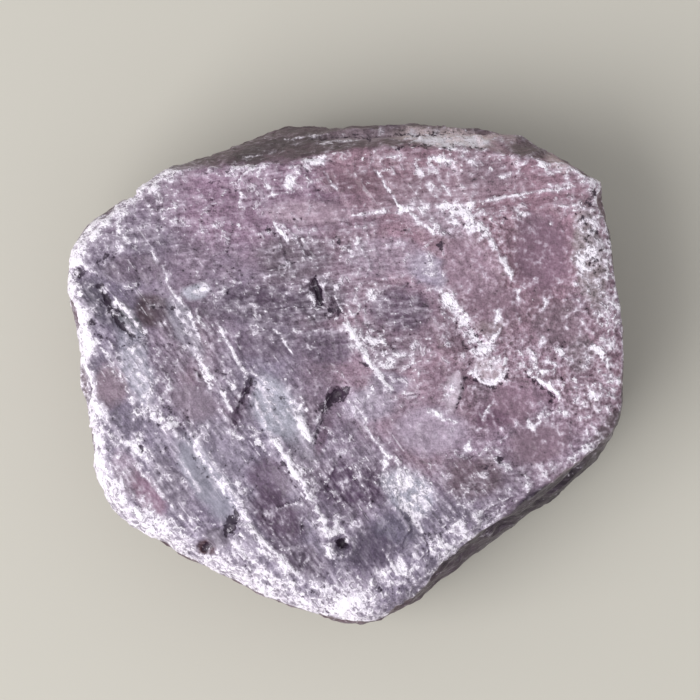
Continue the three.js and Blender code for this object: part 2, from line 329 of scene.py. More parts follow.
@dataclass(frozen=True)
class Stroke:
    """A mark or a fold along a broken line on the top face.

    Attributes:
        line: The line's points.
        reach: Half width, in millimetres.
        strength: Height, depth or amount on the line.
        end_width: A mark's width at its ends, against that of its middle.
        taper: How many half widths long a mark's narrowing ends are.
    """

    line: Line
    reach: float
    strength: float
    end_width: float = 0.45
    taper: float = 4.0

    def nearness(self, x: Array, y: Array) -> tuple[Array, Array]:
        """Measures places against the line.

        Args:
            x, y: Places along the width and the depth.

        Returns:
            The distance from the line, and how much of the line is left before its nearer end.
        """
        gap = np.full(x.shape, np.inf)
        passed_at = np.zeros(x.shape)
        passed = 0.0
        for (ax, ay), (bx, by) in zip(self.line, self.line[1:]):
            length = math.hypot(bx - ax, by - ay)
            share = np.clip(((x - ax) * (bx - ax) + (y - ay) * (by - ay)) / length**2, 0.0, 1.0)
            here = np.hypot(x - ax - share * (bx - ax), y - ay - share * (by - ay))
            passed_at = np.where(here < gap, passed + share * length, passed_at)
            gap = np.minimum(gap, here)
            passed += length
        return gap, np.minimum(passed_at, passed - passed_at)

    def fold(self, x: Array, y: Array, fade: float) -> Array:
        """Returns a straight-flanked fold of this strength, dying out over `fade` at both ends."""
        gap, to_end = self.nearness(x, y)
        return self.strength * np.clip(1.0 - gap / self.reach, 0.0, 1.0) * smooth(to_end / fade)

    def mark(self, x: Array, y: Array) -> Array:
        """Gives a soft-edged mark, narrower towards both ends.

        Args:
            x, y: Places along the width and the depth.

        Returns:
            Amounts of 0 to the stroke's strength.
        """
        gap, to_end = self.nearness(x, y)
        reach = self.reach * over(self.end_width, 1.0, smooth(to_end / (self.taper * self.reach)))
        return self.strength * np.exp(-((gap / reach) ** 2))


@dataclass(frozen=True)
class Patch:
    """An oval area of the top face.

    Attributes:
        at: Its middle.
        half: Its half length and half width.
        azimuth: Direction of its length, in degrees.
        strength: Depth or amount in the middle.
    """

    at: Point
    half: Point
    azimuth: float
    strength: float

    def far(self, x: Array, y: Array) -> Array:
        """Returns the distance from the middle, in which the oval's edge is 1."""
        u, v = turned(x - self.at[0], y - self.at[1], self.azimuth)
        return np.hypot(u / self.half[0], v / self.half[1])

    def mark(self, x: Array, y: Array) -> Array:
        """Returns a soft-edged mark of this strength."""
        return self.strength * np.exp(-(self.far(x, y) ** 2))

    def bowl(self, x: Array, y: Array) -> Array:
        """Returns a rounded hollow of this depth."""
        return self.strength * smooth(1.0 - self.far(x, y))


@dataclass(frozen=True)
class Notch:
    """A three-sided notch: a deepest corner, two steep sides that run off from it, and a flat floor.

    Attributes:
        corner: The deepest corner.
        depth: Its depth under the top face.
        sides: The azimuth of each side, and the length over which it comes up to the top face.
        side_slope: The sides' slope, in degrees.
    """

    corner: Point
    depth: float
    sides: tuple[Point, Point]
    side_slope: float = 58.0

    def height(self, x: Array, y: Array, top: float) -> Array:
        """Gives the height of the floor and sides, which rise past the top face outside the notch.

        Args:
            x, y: Places along the width and the depth.
            top: Height of the top face over the corner.

        Returns:
            Heights of the highest of the floor and the two sides.
        """
        deepest = np.array([*self.corner, top - self.depth])
        runs = [direction(azimuth) * length + UP * self.depth for azimuth, length in self.sides]
        into = sum(direction(azimuth) for azimuth, _ in self.sides)
        half_opening = math.acos(np.linalg.norm(into) / 2.0)
        into /= np.linalg.norm(into)
        lean = 1.0 / (math.tan(math.radians(self.side_slope)) * math.sin(half_opening))
        edge = UP - into * lean
        normals = [np.cross(runs[0], runs[1]), np.cross(runs[0], edge), np.cross(runs[1], edge)]
        planes = [deepest[2] - ((x - deepest[0]) * n[0] + (y - deepest[1]) * n[1]) / n[2] for n in normals]
        return np.maximum.reduce(planes)


# ---- The stone's form ------------


@dataclass(frozen=True)
class Rim:
    """What happens at the rim on one side of the stone.

    Attributes:
        azimuth: The side's direction, in degrees.
        width: Width of the bruised edge.
        drop: Fall of the bruised edge.
        inset: How far the wall starts inside the outline.
        girth: Share of the way down at which the wall reaches the outline.
        undercut: How far the wall ends inside the outline.
    """

    azimuth: float
    width: float
    drop: float
    inset: float
    girth: float
    undercut: float


@dataclass(frozen=True)
class Cleavage:
    """A flat broken face.

    Attributes:
        azimuth: Direction that it faces, in degrees.
        lift: Its tilt up, in degrees.
        distance: Its distance from the stone's middle.
    """

    azimuth: float
    lift: float
    distance: float

    def pull_in(self, spokes: Array) -> Array:
        """Returns points, measured from the stone's middle, with those beyond the face pulled in to it."""
        out = spokes @ direction(self.azimuth, self.lift)
        return spokes * np.where(out > self.distance, self.distance / np.maximum(out, 1e-6), 1.0)[:, None]


@dataclass(frozen=True)
class Ledge:
    """A ledge broken into a wall, with leaning faces.

    Attributes:
        azimuth: Direction of the wall, in degrees.
        distance: Distance of the ledge's wall from the stone's upright axis.
        height: Level of the ledge.
        above: Whether the stone is gone above the ledge, and not below it.
        along: Where the ledge ends, to the left when looking out from the middle.
        left: Whether the stone is gone to the left of that end, and not to its right.
        wall_lean: Slope of the ledge's wall from upright.
        end_lean: Slope of its end.
        floor_lean: Slope of its floor, down towards the outside.
        tilt: Slope of its floor along the wall.
    """

    azimuth: float
    distance: float
    height: float
    above: bool
    along: float
    left: bool
    wall_lean: float = 0.14
    end_lean: float = 0.6
    floor_lean: float = 0.16
    tilt: float = 0.05

    def pull_in(self, spokes: Array, middle: Array) -> Array:
        """Pulls points in to the ledge's faces.

        Args:
            spokes: Points measured from the stone's middle.
            middle: The stone's middle.

        Returns:
            The points, with those in the space that the ledge opens pulled in towards the middle.
        """
        up = 1.0 if self.above else -1.0
        side = 1.0 if self.left else -1.0
        outward = direction(self.azimuth)
        leftward = direction(self.azimuth + 90.0)
        local = np.stack([outward, leftward, UP])
        faces = np.array(
            [
                [1.0, 0.0, -up * self.wall_lean],
                [0.0, 1.0, up * side * self.end_lean],
                [-up * self.floor_lean, self.tilt, 1.0],
            ]
        )
        inward = np.diag([1.0, side, up]) @ np.linalg.inv(faces) @ local
        corner = outward * self.distance + leftward * self.along + UP * self.height
        reach = spokes @ inward.T
        start = inward @ (corner - middle)
        gone = np.all(reach > start, axis=1)
        entry = np.where(reach > 1e-6, start / np.maximum(reach, 1e-6), -np.inf).max(axis=1)
        return spokes * np.where(gone, np.clip(entry, 0.0, 1.0), 1.0)[:, None]


@dataclass(frozen=True)
class StoneForm:
    """The broken stone's shape, in millimetres, before its finest relief.

    Attributes:
        top_height: Height of the top face over the middle.
        top_rise: Its rise for each millimetre to the right and to the back.
        buried: How far below the resting face the walls' lean is measured.
        middle: Place inside the stone from which its broken faces are measured.
        outline: The widest outline seen from above, counter-clockwise.
        outline_steps: Steps of the smooth curve between two points of the outline.
        rims: The rim, side by side.
        back_crest: The crest of the back bevel, from left to right.
        back_fall: The bevel's fall for each millimetre behind it.
        bevel_edge: Width over which the bevel's own look sets in.
        notches: Three-sided notches of the top face.
        ridges: Its ridges.
        grooves: Its grooves.
        line_fade: Length over which a ridge or groove dies out at each end.
        pits: Its pits.
        cleavages: Flat broken faces of the walls.
        ledges: Ledges broken into the walls.
    """

    top_height: float = 20.4
    top_rise: Point = (0.012, 0.016)
    buried: float = 2.0
    middle: tuple[float, float, float] = (0.0, 0.0, 10.0)
    outline: Line = (
        (32.0, 0.5), (31.5, 6.9), (30.6, 13.6), (29.5, 19.7), (28.6, 23.7), (25.4, 26.0), (20.0, 27.8),
        (12.1, 28.9), (5.0, 29.1), (-1.5, 28.7), (-5.6, 29.0), (-10.3, 27.8), (-15.2, 25.6), (-20.7, 23.7),
        (-25.7, 20.3), (-29.9, 16.8), (-31.8, 13.7), (-31.9, 8.7), (-30.7, 3.6), (-30.7, 0.0), (-29.7, -4.7),
        (-29.0, -11.0), (-26.5, -16.1), (-20.7, -20.0), (-12.2, -24.6), (-5.1, -27.7), (1.2, -29.4),
        (6.0, -28.1), (13.3, -23.2), (21.2, -17.1), (28.2, -11.3), (31.8, -6.2),
    )
    outline_steps: int = 24
    rims: tuple[Rim, ...] = (
        Rim(5, 3.4, 0.6, 0.1, 0.15, 4.4),
        Rim(45, 2.6, 1.2, 0.1, 0.15, 4.2),
        Rim(92, 1.0, 0.5, 0.0, 0.3, 3.4),
        Rim(135, 1.8, 1.5, 0.2, 0.3, 4.6),
        Rim(185, 1.9, 2.2, 0.1, 0.3, 5.0),
        Rim(240, 3.6, 2.9, 0.3, 0.35, 4.4),
        Rim(275, 3.0, 2.0, 0.8, 0.5, 3.2),
        Rim(308, 1.2, 0.7, 2.7, 0.7, 1.6),
        Rim(340, 2.2, 1.2, 1.4, 0.5, 3.0),
    )
    back_crest: Line = (
        (-34, 22.4), (-20, 23.4), (-8, 24.2), (-4, 24.8), (1, 25.8), (9, 26.1), (16, 26.1), (20, 25.0),
        (26, 24.2), (34, 21.4),
    )
    back_fall: float = 2.0
    bevel_edge: float = 0.6
    notches: tuple[Notch, ...] = (
        Notch((-10.8, -0.5), 0.85, ((247, 7.4), (331, 7.6))),
        Notch((-1.0, -2.0), 1.15, ((243, 8.2), (303, 7.0))),
        Notch((13.9, -0.2), 0.9, ((252, 5.6), (352, 5.2))),
        Notch((23.9, -2.7), 0.9, ((136, 5.4), (262, 3.4))),
        Notch((15.9, 3.5), 0.8, ((127, 9.0), (196, 4.6))),
        Notch((-23.2, 4.3), 1.0, ((129, 6.6), (206, 3.6))),
        Notch((-12.0, -16.6), 0.9, ((122, 10.0), (204, 5.0))),
        Notch((16.4, -16.6), 2.0, ((36, 5.0), (236, 4.4))),
        Notch((-5.8, 25.2), 1.3, ((350, 8.0), (172, 5.0))),
    )
    ridges: tuple[Stroke, ...] = (
        Stroke(((-21.5, -4.5), (-17.5, -8), (-14.8, -12), (-10.5, -18.5), (-5, -23.5)), 2.6, 0.8),
        Stroke(((-8.2, -6), (-6, -11.4), (-2.5, -16.8), (-1.6, -20.5)), 2.2, 0.65),
        Stroke(((-28.5, 11.5), (-24, 3), (-20.5, -4)), 3.0, 0.5),
        Stroke(((-22.6, 14.6), (-18.3, 7.7), (-14.6, 2)), 2.4, 0.35),
        Stroke(((13.4, 19.6), (17.8, 13.6), (19.4, 10)), 2.4, 0.4),
        Stroke(((-1, 7), (3.9, 0), (6.2, -4)), 2.0, 0.35),
    )
    grooves: tuple[Stroke, ...] = (
        Stroke(((-12, 18.4), (-3, 17.6), (8, 18.5), (19.4, 19.7), (28.2, 21.2)), 1.0, 0.3),
        Stroke(((-3.5, 11.8), (-3.4, 9.8), (-2.2, 7.4)), 0.8, 0.8),
        Stroke(((4, 26.6), (12, 27), (20.4, 26)), 1.0, 0.5),
    )
    line_fade: float = 2.2
    pits: tuple[Patch, ...] = (
        Patch((-0.4, -19.7), (1.5, 1.5), 0, 1.3),
        Patch((-13.2, -17.7), (1.5, 1.5), 0, 0.8),
        Patch((-30.6, 11.6), (1.7, 1.7), 0, 1.4),
        Patch((-16.0, -19.9), (1.5, 1.5), 0, 0.9),
        Patch((-1.1, -2.5), (1.5, 1.5), 0, 0.6),
    )
    cleavages: tuple[Cleavage, ...] = (
        Cleavage(8, -3, 31.8),
        Cleavage(352, -42, 26.9),
        Cleavage(58, 4, 34.7),
        Cleavage(38, -31, 31.6),
        Cleavage(91, 2, 28.9),
        Cleavage(84, -34, 26.4),
        Cleavage(122, -3, 30.7),
        Cleavage(137, -41, 26.4),
        Cleavage(189, -5, 29.9),
        Cleavage(175, -47, 24.9),
        Cleavage(242, -7, 27.1),
        Cleavage(227, -39, 24.0),
        Cleavage(309, 5, 26.3),
        Cleavage(299, -37, 24.0),
    )
    ledges: tuple[Ledge, ...] = (
        Ledge(124, 29.2, 12.6, False, 2, True),
        Ledge(118, 27.6, 6.8, False, -3, False),
        Ledge(92, 27.3, 15.6, True, 4, False),
        Ledge(190, 28.2, 8.6, False, -2, True),
        Ledge(240, 24.7, 10.2, False, 2, False),
        Ledge(243, 23.4, 5.6, False, -4, True),
        Ledge(309, 25.2, 13.6, True, -7, True),
        Ledge(311, 23.7, 4.8, False, 3, True),
        Ledge(6, 30.3, 8.0, False, 5, False),
        Ledge(14, 29.6, 12.2, False, 7, True),
    )

    def outline_radius(self, azimuth: Array) -> Array:
        """Gives the outline's distance from the upright axis.

        Args:
            azimuth: Directions in degrees, from 0 to 360.

        Returns:
            Radii of a smooth closed curve through the outline's points.
        """
        points = np.array(self.outline)
        before, after, beyond = (np.roll(points, -step, axis=0) for step in (-1, 1, 2))
        share = np.linspace(0.0, 1.0, self.outline_steps, endpoint=False)[:, None, None]
        curve = 0.5 * (
            2.0 * points
            + (after - before) * share
            + (2.0 * before - 5.0 * points + 4.0 * after - beyond) * share**2
            + (3.0 * points - before - 3.0 * after + beyond) * share**3
        )
        x, y = curve.reshape(-1, 2).T
        return np.interp(azimuth, azimuth_of(x, y), np.hypot(x, y), period=360.0)

    def rim_measure(self, name: str, azimuth: Array) -> Array:
        """Returns one of the rim's measures in directions of 0 to 360 degrees, by its name in Rim."""
        return around(self.rims, name, azimuth, eased=True)

    def rim_radius(self, azimuth: Array) -> Array:
        """Returns the distance of the top face's rim from the upright axis."""
        return self.outline_radius(azimuth) - self.rim_measure("inset", azimuth)

    def to_rim(self, x: Array, y: Array) -> Array:
        """Returns how far places of the top face are inside its rim."""
        return self.rim_radius(azimuth_of(x, y)) - np.hypot(x, y)

    def past_crest(self, x: Array, y: Array) -> Array:
        """Returns how far places lie behind the crest of the back bevel."""
        crest_x, crest_y = np.array(self.back_crest).T
        return y - np.interp(x, crest_x, crest_y)

    def top_plane(self, x: Array, y: Array) -> Array:
        """Returns the height of the top face without its relief."""
        return self.top_height + self.top_rise[0] * x + self.top_rise[1] * y

    def top_surface(self, x: Array, y: Array) -> Array:
        """Gives the height of the top face.

        Args:
            x, y: Places along the width and the depth.

        Returns:
            Heights with the ridges, grooves, pits, back bevel, bruised rim and notches.
        """
        azimuth = azimuth_of(x, y)
        bruise = np.clip(1.0 - self.to_rim(x, y) / self.rim_measure("width", azimuth), 0.0, 1.0)
        z = self.top_plane(x, y)
        for ridge in self.ridges:
            z = z + ridge.fold(x, y, self.line_fade)
        for groove in self.grooves:
            z = z - groove.fold(x, y, self.line_fade)
        for pit in self.pits:
            z = z - pit.bowl(x, y)
        z = z - self.rim_measure("drop", azimuth) * bruise**2
        z = z - self.back_fall * np.maximum(0.0, self.past_crest(x, y))
        for notch in self.notches:
            z = np.minimum(z, notch.height(x, y, self.top_plane(*notch.corner)))
        return z

    def wall_surface(self, share: Array, azimuth: Array) -> Array:
        """Gives points of the walls.

        Args:
            share: Shares of the way down from the rim to the resting face.
            azimuth: Directions in degrees, from 0 to 360.

        Returns:
            Points in rows of three.
        """
        rim = self.rim_radius(azimuth)
        c, s = np.cos(np.radians(azimuth)), np.sin(np.radians(azimuth))
        rim_z = self.top_surface(rim * c, rim * s)
        z = rim_z * (1.0 - share)
        way = (rim_z - z) / (rim_z + self.buried)
        girth = self.rim_measure("girth", azimuth)
        inset = self.rim_measure("inset", azimuth) * (1.0 - smooth(way / girth))
        undercut = self.rim_measure("undercut", azimuth) * smooth((way - girth) / (1.0 - girth))
        radius = self.outline_radius(azimuth) - inset - undercut
        return np.stack([radius * c, radius * s, z], axis=1)

    def broken_in(self, points: Array) -> Array:
        """Breaks the cleavages and ledges into the form.

        Args:
            points: Places in rows of three.

        Returns:
            The places, with those beyond a broken face pulled in to it.
        """
        middle = np.array(self.middle)
        spokes = points - middle
        for cleavage in self.cleavages:
            spokes = cleavage.pull_in(spokes)
        for ledge in self.ledges:
            spokes = ledge.pull_in(spokes, middle)
        return spokes + middle


# ---- The mesh ------------


@dataclass(frozen=True)
class Ring:
    """One closed ring of the mesh's points.

    Attributes:
        first: Number of its first point.
        count: Its number of points.
    """

    first: int
    count: int

    def at(self, step: int) -> int:
        """Returns the number of the ring's point at a step, going round."""
        return self.first + step % self.count


def band(inner: Ring, outer: Ring) -> list[tuple[int, int, int]]:
    """Makes the triangles between two rings.

    Args:
        inner: The ring on the left when going round the stone.
        outer: The ring outside it.

    Returns:
        Triangles as point numbers, facing out.
    """
    triangles = []
    i = j = 0
    while i < inner.count or j < outer.count:
        outer_next = (j + 1) * inner.count <= (i + 1) * outer.count
        if i == inner.count or (j < outer.count and outer_next):
            triangles.append((inner.at(i), outer.at(j), outer.at(j + 1)))
            j += 1
        else:
            triangles.append((inner.at(i), outer.at(j), inner.at(i + 1)))
            i += 1
    return [corners for corners in triangles if len(set(corners)) == 3]


@dataclass
class StoneMesh:
    """The points and triangles of the whole surface.

    Attributes:
        form: The stone's shape.
        top_rings: Rings over the top face; the outermost holds six times as many points.
        wall_rings: Rings down the walls, with half as many points.
        foot_rings: Rings under the stone.
        foot_edge: Height over the floor at which the finer relief is in full.
    """

    form: StoneForm
    top_rings: int = 148
    wall_rings: int = 46
    foot_rings: int = 36
    foot_edge: float = 0.8
    points: Array = field(init=False)
    triangles: Array = field(init=False)
    on_top: Array = field(init=False)

    def __post_init__(self) -> None:
        """Makes the points of the form, and the triangles between their rings.

        A ring has its number of points, and its shares of the rim's radius on the top, of the way down the
        wall and of the foot's radius.
        """
        below = 3 * self.top_rings
        rows = [(max(1, 6 * k), k / self.top_rings, 0.0, 1.0) for k in range(self.top_rings + 1)]
        rows += [(below, 1.0, k / self.wall_rings, 1.0) for k in range(1, self.wall_rings + 1)]
        for k in reversed(range(self.foot_rings)):
            rows.append((max(1, below * k // self.foot_rings), 1.0, 1.0, k / self.foot_rings))
        counts = [row[0] for row in rows]
        firsts = np.cumsum([0, *counts])
        rings = [Ring(int(first), count) for first, count in zip(firsts, counts)]
        self.triangles = np.array([corners for pair in zip(rings, rings[1:]) for corners in band(*pair)])
        azimuths = np.concatenate([np.arange(count) * 360.0 / count for count in counts])
        top, wall, foot = np.repeat(np.array(rows)[:, 1:], counts, axis=0).T
        points = self.form.wall_surface(wall, azimuths)
        points[:, :2] *= foot[:, None]
        on_top = wall == 0.0
        radius = top * self.form.rim_radius(azimuths)
        x, y = radius * np.cos(np.radians(azimuths)), radius * np.sin(np.radians(azimuths))
        points[on_top] = np.stack([x, y, self.form.top_surface(x, y)], axis=1)[on_top]
        self.points = self.form.broken_in(points)
        self.on_top = on_top

    def faces(self) -> Array:
        """Returns every triangle's normal, twice as long as its area."""
        corners = self.points[self.triangles]
        return np.cross(corners[:, 1] - corners[:, 0], corners[:, 2] - corners[:, 0])

    def normals(self) -> Array:
        """Gives the directions that the surface faces.

        Returns:
            A unit normal for every point.
        """
        faces = self.faces()
        total = np.zeros_like(self.points)
        for corner in range(3):
            for axis in range(3):
                total[:, axis] += np.bincount(self.triangles[:, corner], faces[:, axis], len(total))
        return total / np.maximum(np.linalg.norm(total, axis=1), 1e-12)[:, None]

    def averaged(self, values: Array, rounds: int) -> Array:
        """Gives values evened out over their neighbours.

        Args:
            values: One value or one row for each point.
            rounds: How many times each value takes its neighbours' average.

        Returns:
            The evened values.
        """
        here = self.triangles.T.ravel()
        there = self.triangles[:, [1, 2, 0]].T.ravel()
        degree = np.bincount(here, minlength=len(self.points)).astype(float)
        result = values.reshape(len(values), -1)
        for _ in range(rounds):
            columns = [np.bincount(here, column[there], len(degree)) / degree for column in result.T]
            result = 0.5 * result + 0.5 * np.stack(columns, axis=1)
        return result.reshape(values.shape)

    def ease_folds(self, rounds: int, least_cosine: float) -> None:
        """Evens out the few places where triangles fold over each other.

        Args:
            rounds: How many times the folded places are looked for.
            least_cosine: Triangles turned further than this from their surroundings are folded.
        """
        for _ in range(rounds):
            faces = self.faces()
            around = self.averaged(self.normals(), 2)[self.triangles].mean(axis=1)
            lengths = np.linalg.norm(faces, axis=1) * np.linalg.norm(around, axis=1)
            folded = np.sum(faces * around, axis=1) < least_cosine * lengths
            moved = np.zeros(len(self.points))
            moved[self.triangles[folded]] = 1.0
            self.points = over(self.points, self.averaged(self.points, 2), moved)

    def top_amount(self) -> Array:
        """Returns how far each point belongs to the top face, 0 to 1."""
        return self.averaged(self.on_top.astype(float), 3)

    def off_foot(self) -> Array:
        """Returns 0 for points of the resting face, and 1 a little above it."""
        return smooth(self.points[:, 2] / self.foot_edge)

    def standing_out(self, rounds: int) -> Array:
        """Returns how far each point stands out from its surroundings, in millimetres."""
        return np.sum((self.points - self.averaged(self.points, rounds)) * self.normals(), axis=1)

    def as_object(self, name: str, box: tuple[Array, Array]) -> bpy.types.Object:
        """Makes the stone's Blender object, fitted to a box.

        Args:
            name: The object's name.
            box: Lowest and highest corner, in metres.

        Returns:
            The object.
        """
        low, high = np.array(box[0]), np.array(box[1])
        least, most = self.points.min(axis=0), self.points.max(axis=0)
        fitted = low + (self.points - least) / (most - least) * (high - low)
        mesh = bpy.data.meshes.new(name)
        mesh.from_pydata(fitted.tolist(), [], self.triangles.tolist())
        mesh.polygons.foreach_set("use_smooth", np.ones(len(mesh.polygons), dtype=bool))
        mesh.update()
        piece = bpy.data.objects.new(name, mesh)
        bpy.context.scene.collection.objects.link(piece)
        return piece


# ---- Finer relief ------------


def teeth(phase: Array, riser: float) -> tuple[Array, Array]:
    """Gives the teeth of a saw.

    Args:
        phase: Places along the saw, in teeth.
        riser: Share of a tooth that its steep side takes.

    Returns:
        The number of the tooth at each place, and its height of 0 to 1.
    """
    number = np.floor(phase)
    share = phase - number
    return number, np.minimum(share / (1.0 - riser), (1.0 - share) / riser)


@dataclass(frozen=True)
class Steps:
    """Long low steps, side by side in one of the crystal's directions.

    Attributes:
        direction: The steps' direction.
        spacing: Mean width of a step.
        height: Largest height of a step.
        run: Length over which a step stays straight.
        seed: Number that picks the pattern.
        riser: Share of the width that the steep side takes.
        bend: How far the steps wander, in widths.
    """

    direction: CrystalDirection
    spacing: float
    height: float
    run: float
    seed: int
    riser: float = 0.16
    bend: float = 0.9

    def lift(self, x: Array, y: Array) -> Array:
        """Gives the steps' height.

        Args:
            x, y: Places along the width and the depth.

        Returns:
            Heights of 0 to the steps' height, missing from parts of the face.
        """
        azimuth = self.direction.value
        _, across = turned(x, y, azimuth)
        wander = Streaks(self.seed, azimuth, self.run, self.spacing * 3.0, self.bend).at(x, y)
        number, profile = teeth(across / self.spacing + wander, self.riser)
        own = Noise(self.seed).at_lattice(number, np.zeros_like(number))
        shown = smooth(0.5 + 1.4 * Noise(self.seed).soft(np.stack([x, y], axis=1), self.run * 1.3))
        return self.height * own * profile * shown


@dataclass(frozen=True)
class Layers:
    """Thin level layers of the walls, each standing out over the one below it.

    Attributes:
        thickness: Mean thickness of a layer.
        height: How far a layer stands out at the most.
        seed: Number that picks the pattern.
        warp: How the layers are bent, in layers.
        shown: Where they show.
        riser: Share of the thickness that the steep side takes.
    """

    thickness: float = 1.35
    height: float = 0.22
    seed: int = 82
    warp: Lumps = Lumps(81, 7.0, 0.8)
    shown: Lumps = Lumps(83, 6.0, 1.3, 1)
    riser: float = 0.3

    def lift(self, points: Array) -> Array:
        """Gives the layers' height.

        Args:
            points: Places in rows of three.

        Returns:
            Heights of 0 to the layers' height.
        """
        number, profile = teeth(points[:, 2] / self.thickness + self.warp.at(points), self.riser)
        own = Noise(self.seed).at_lattice(number, np.zeros_like(number))
        return self.height * own * smooth(0.6 + self.shown.at(points)) * profile


@dataclass(frozen=True)
class Scoops:
    """Round-bottomed hollows with sharp crests between them.

    Attributes:
        size: Distance between hollows.
        depth: Height of the crests over the bottoms.
        seed: Number that picks the pattern.
        sunk: How far the bottoms lie under the form, against the depth.
    """

    size: float
    depth: float
    seed: int
    sunk: float = 0.3

    def lift(self, points: Array) -> Array:
        """Gives the height of the hollows and crests.

        Args:
            points: Places in rows of three.

        Returns:
            Heights above and below 0.
        """
        scaled = points / self.size
        cell = np.floor(scaled)
        nearest = np.full(len(points), np.inf)
        for step in np.ndindex(3, 3, 3):
            near = cell + np.array(step) - 1.0
            jitter = [Noise(self.seed + 13 * axis).at_lattice(*near.T) for axis in range(3)]
            gap = near + np.stack(jitter, axis=1) - scaled
            nearest = np.minimum(nearest, np.sum(gap * gap, axis=1))
        return self.depth * (nearest - self.sunk)


@dataclass(frozen=True)
class BreakRelief:
    """The steps, facets and flake scars of the broken surface, in millimetres.

    Attributes:
        plates: The sets of broken plates on the top face, the largest first.
        steps: The sets of long steps on the top face.
        warps: How plates and steps are bent out of line, along the width and the depth.
        grain: The top's crumbly grain.
        calmed: How much of the smaller plates, the steps and the grain smooth places lack.
        scoops: The sets of scooped breaks on the walls.
        layers: The walls' layers.
        side_grain: The walls' crumbly grain.
        scars: Number of flake scars on the rim and walls.
        scar_radius: Smallest and largest radius of a scar.
        scar_depth: Smallest and largest depth of a scar.
        scar_lift: Lowest and highest direction that a scar faces, in degrees.
        scar_crowding: How strongly the scars crowd towards the rim.
        seed: Number that picks the scars.
    """

    plates: tuple[Plates, ...] = (
        Plates(6.4, 41, 0.05, 0.05),
        Plates(2.7, 42, 0.03, 0.08),
        Plates(1.1, 43, 0.02, 0.12),
    )
    steps: tuple[Steps, ...] = (
        Steps(CrystalDirection.FALLING, 3.1, 0.2, 8.0, 51),
        Steps(CrystalDirection.FALLING, 1.1, 0.08, 5.0, 52),
        Steps(CrystalDirection.LEVEL, 2.4, 0.08, 8.0, 53),
        Steps(CrystalDirection.RISING, 3.6, 0.08, 4.0, 54),
    )
    warps: tuple[Lumps, Lumps] = (Lumps(31, 4.5, 0.7), Lumps(32, 4.5, 0.7))
    grain: Lumps = Lumps(61, 0.62, 0.05, 2)
    calmed: tuple[float, float, float] = (0.8, 0.85, 0.6)
    scoops: tuple[Scoops, ...] = (Scoops(4.2, 0.55, 71), Scoops(1.7, 0.26, 72), Scoops(0.8, 0.1, 73))
    layers: Layers = Layers()
    side_grain: Lumps = Lumps(84, 0.6, 0.05, 2)
    scars: int = 80
    scar_radius: Point = (1.2, 4.5)
    scar_depth: Point = (0.08, 0.34)
    scar_lift: Point = (-25.0, 55.0)
    scar_crowding: float = 1.6
    seed: int = 7

    def on_top(self, x: Array, y: Array, calm: Array) -> Array:
        """Gives the fine height of the top face.

        Args:
            x, y: Places along the width and the depth.
            calm: Where the face is smooth, 0 to 1.

        Returns:
            Heights above the form.
        """
        places = np.stack([x, y], axis=1)
        wx, wy = (along + warp.at(places) for along, warp in zip((x, y), self.warps))
        largest, *smaller = self.plates
        of_plates, of_steps, of_grain = (1.0 - share * calm for share in self.calmed)
        total = largest.lift(wx, wy) + sum(of_plates * plates.lift(wx, wy) for plates in smaller)
        total += of_steps * sum(steps.lift(wx, wy) for steps in self.steps)
        return total + of_grain * self.grain.at(places)

    def on_walls(self, points: Array) -> Array:
        """Returns the fine height of the walls and underside, at places in rows of three."""
        scooped = sum(scoops.lift(points) for scoops in self.scoops)
        return scooped + self.layers.lift(points) + self.side_grain.at(points)

    def chipped(self, points: Array, form: StoneForm) -> Array:
        """Takes flakes off the rim and walls.

        Args:
            points: Places in rows of three.
            form: The stone's shape.

        Returns:
            The places, with those in a scar's ball pulled in to it.
        """
        draw = np.random.default_rng(self.seed)
        azimuth = draw.uniform(0.0, 360.0, self.scars)
        down = draw.uniform(0.0, 1.0, self.scars) ** self.scar_crowding
        lift = draw.uniform(*self.scar_lift, self.scars)
        radius = draw.uniform(*self.scar_radius, self.scars)
        depth = draw.uniform(*self.scar_depth, self.scars)
        middle = np.array(form.middle)
        spokes = points - middle
        for at, turn, up, r, d in zip(form.wall_surface(down, azimuth), azimuth, lift, radius, depth):
            ball = at + direction(turn, up) * (r - d) - middle
            length = np.linalg.norm(spokes, axis=1)
            along = spokes @ ball / length
            inside = np.linalg.norm(spokes - ball, axis=1) < r
            reach = along - np.sqrt(np.maximum(along**2 - ball @ ball + r * r, 0.0))
            spokes *= np.where(inside, reach / length, 1.0)[:, None]
        return spokes + middle


# ---- Marks, colour areas and painted light ---

THIN_LINE = 0.21  # half width under which a line's powder is hardly broken up
CREST_EASE = 0.6  # worn crests are this much lower than when they were fresh
SCRATCH_DEPTH = 0.04
POWDER_DEPTH = 0.04


@dataclass(frozen=True)
class Mark:
    """A scratch, worn crest, crack, pit or powdery patch on the top face.

    Attributes:
        shape: Its line or oval, with a strength of 1.
        lift: Its height over the surface, negative for a hollow, in millimetres.
        powder: Its amount of white powder.
        dirt_and_shade: Its amount of dark dirt, and of painted shade where it lies on a shaded riser or under
            a flake.
    """

    shape: Stroke | Patch
    lift: float = 0.0
    powder: float = 0.0
    dirt_and_shade: float = 0.0

    def wholeness(self) -> float:
        """Gives how whole the mark's powder is.

        Returns:
            A number that is lowest on patches and highest on thin lines.
        """
        if isinstance(self.shape, Patch):
            return 0.66
        return 1.1 if self.shape.reach < THIN_LINE else 0.9

    def powder_amount(self, points: Array, ragged: tuple[Array, Array], patchy: Array) -> Array:
        """Gives the mark's powder.

        Args:
            points: Places in rows of three.
            ragged: The places shifted for ragged edges; thin lines take only a part of the shift.
            patchy: Lumps that break the powder up.

        Returns:
            Amounts of 0 to 1.
        """
        line = isinstance(self.shape, Stroke)
        share = min(0.3 + self.shape.reach, 1.0) if line else 1.0
        x, y = (place + share * (shifted - place) for place, shifted in zip(points.T, ragged))
        broken = smooth(self.wholeness() + (0.7 if line else 0.8) * patchy)
        return np.clip(self.powder * self.shape.mark(x, y), 0.0, 0.95) * broken


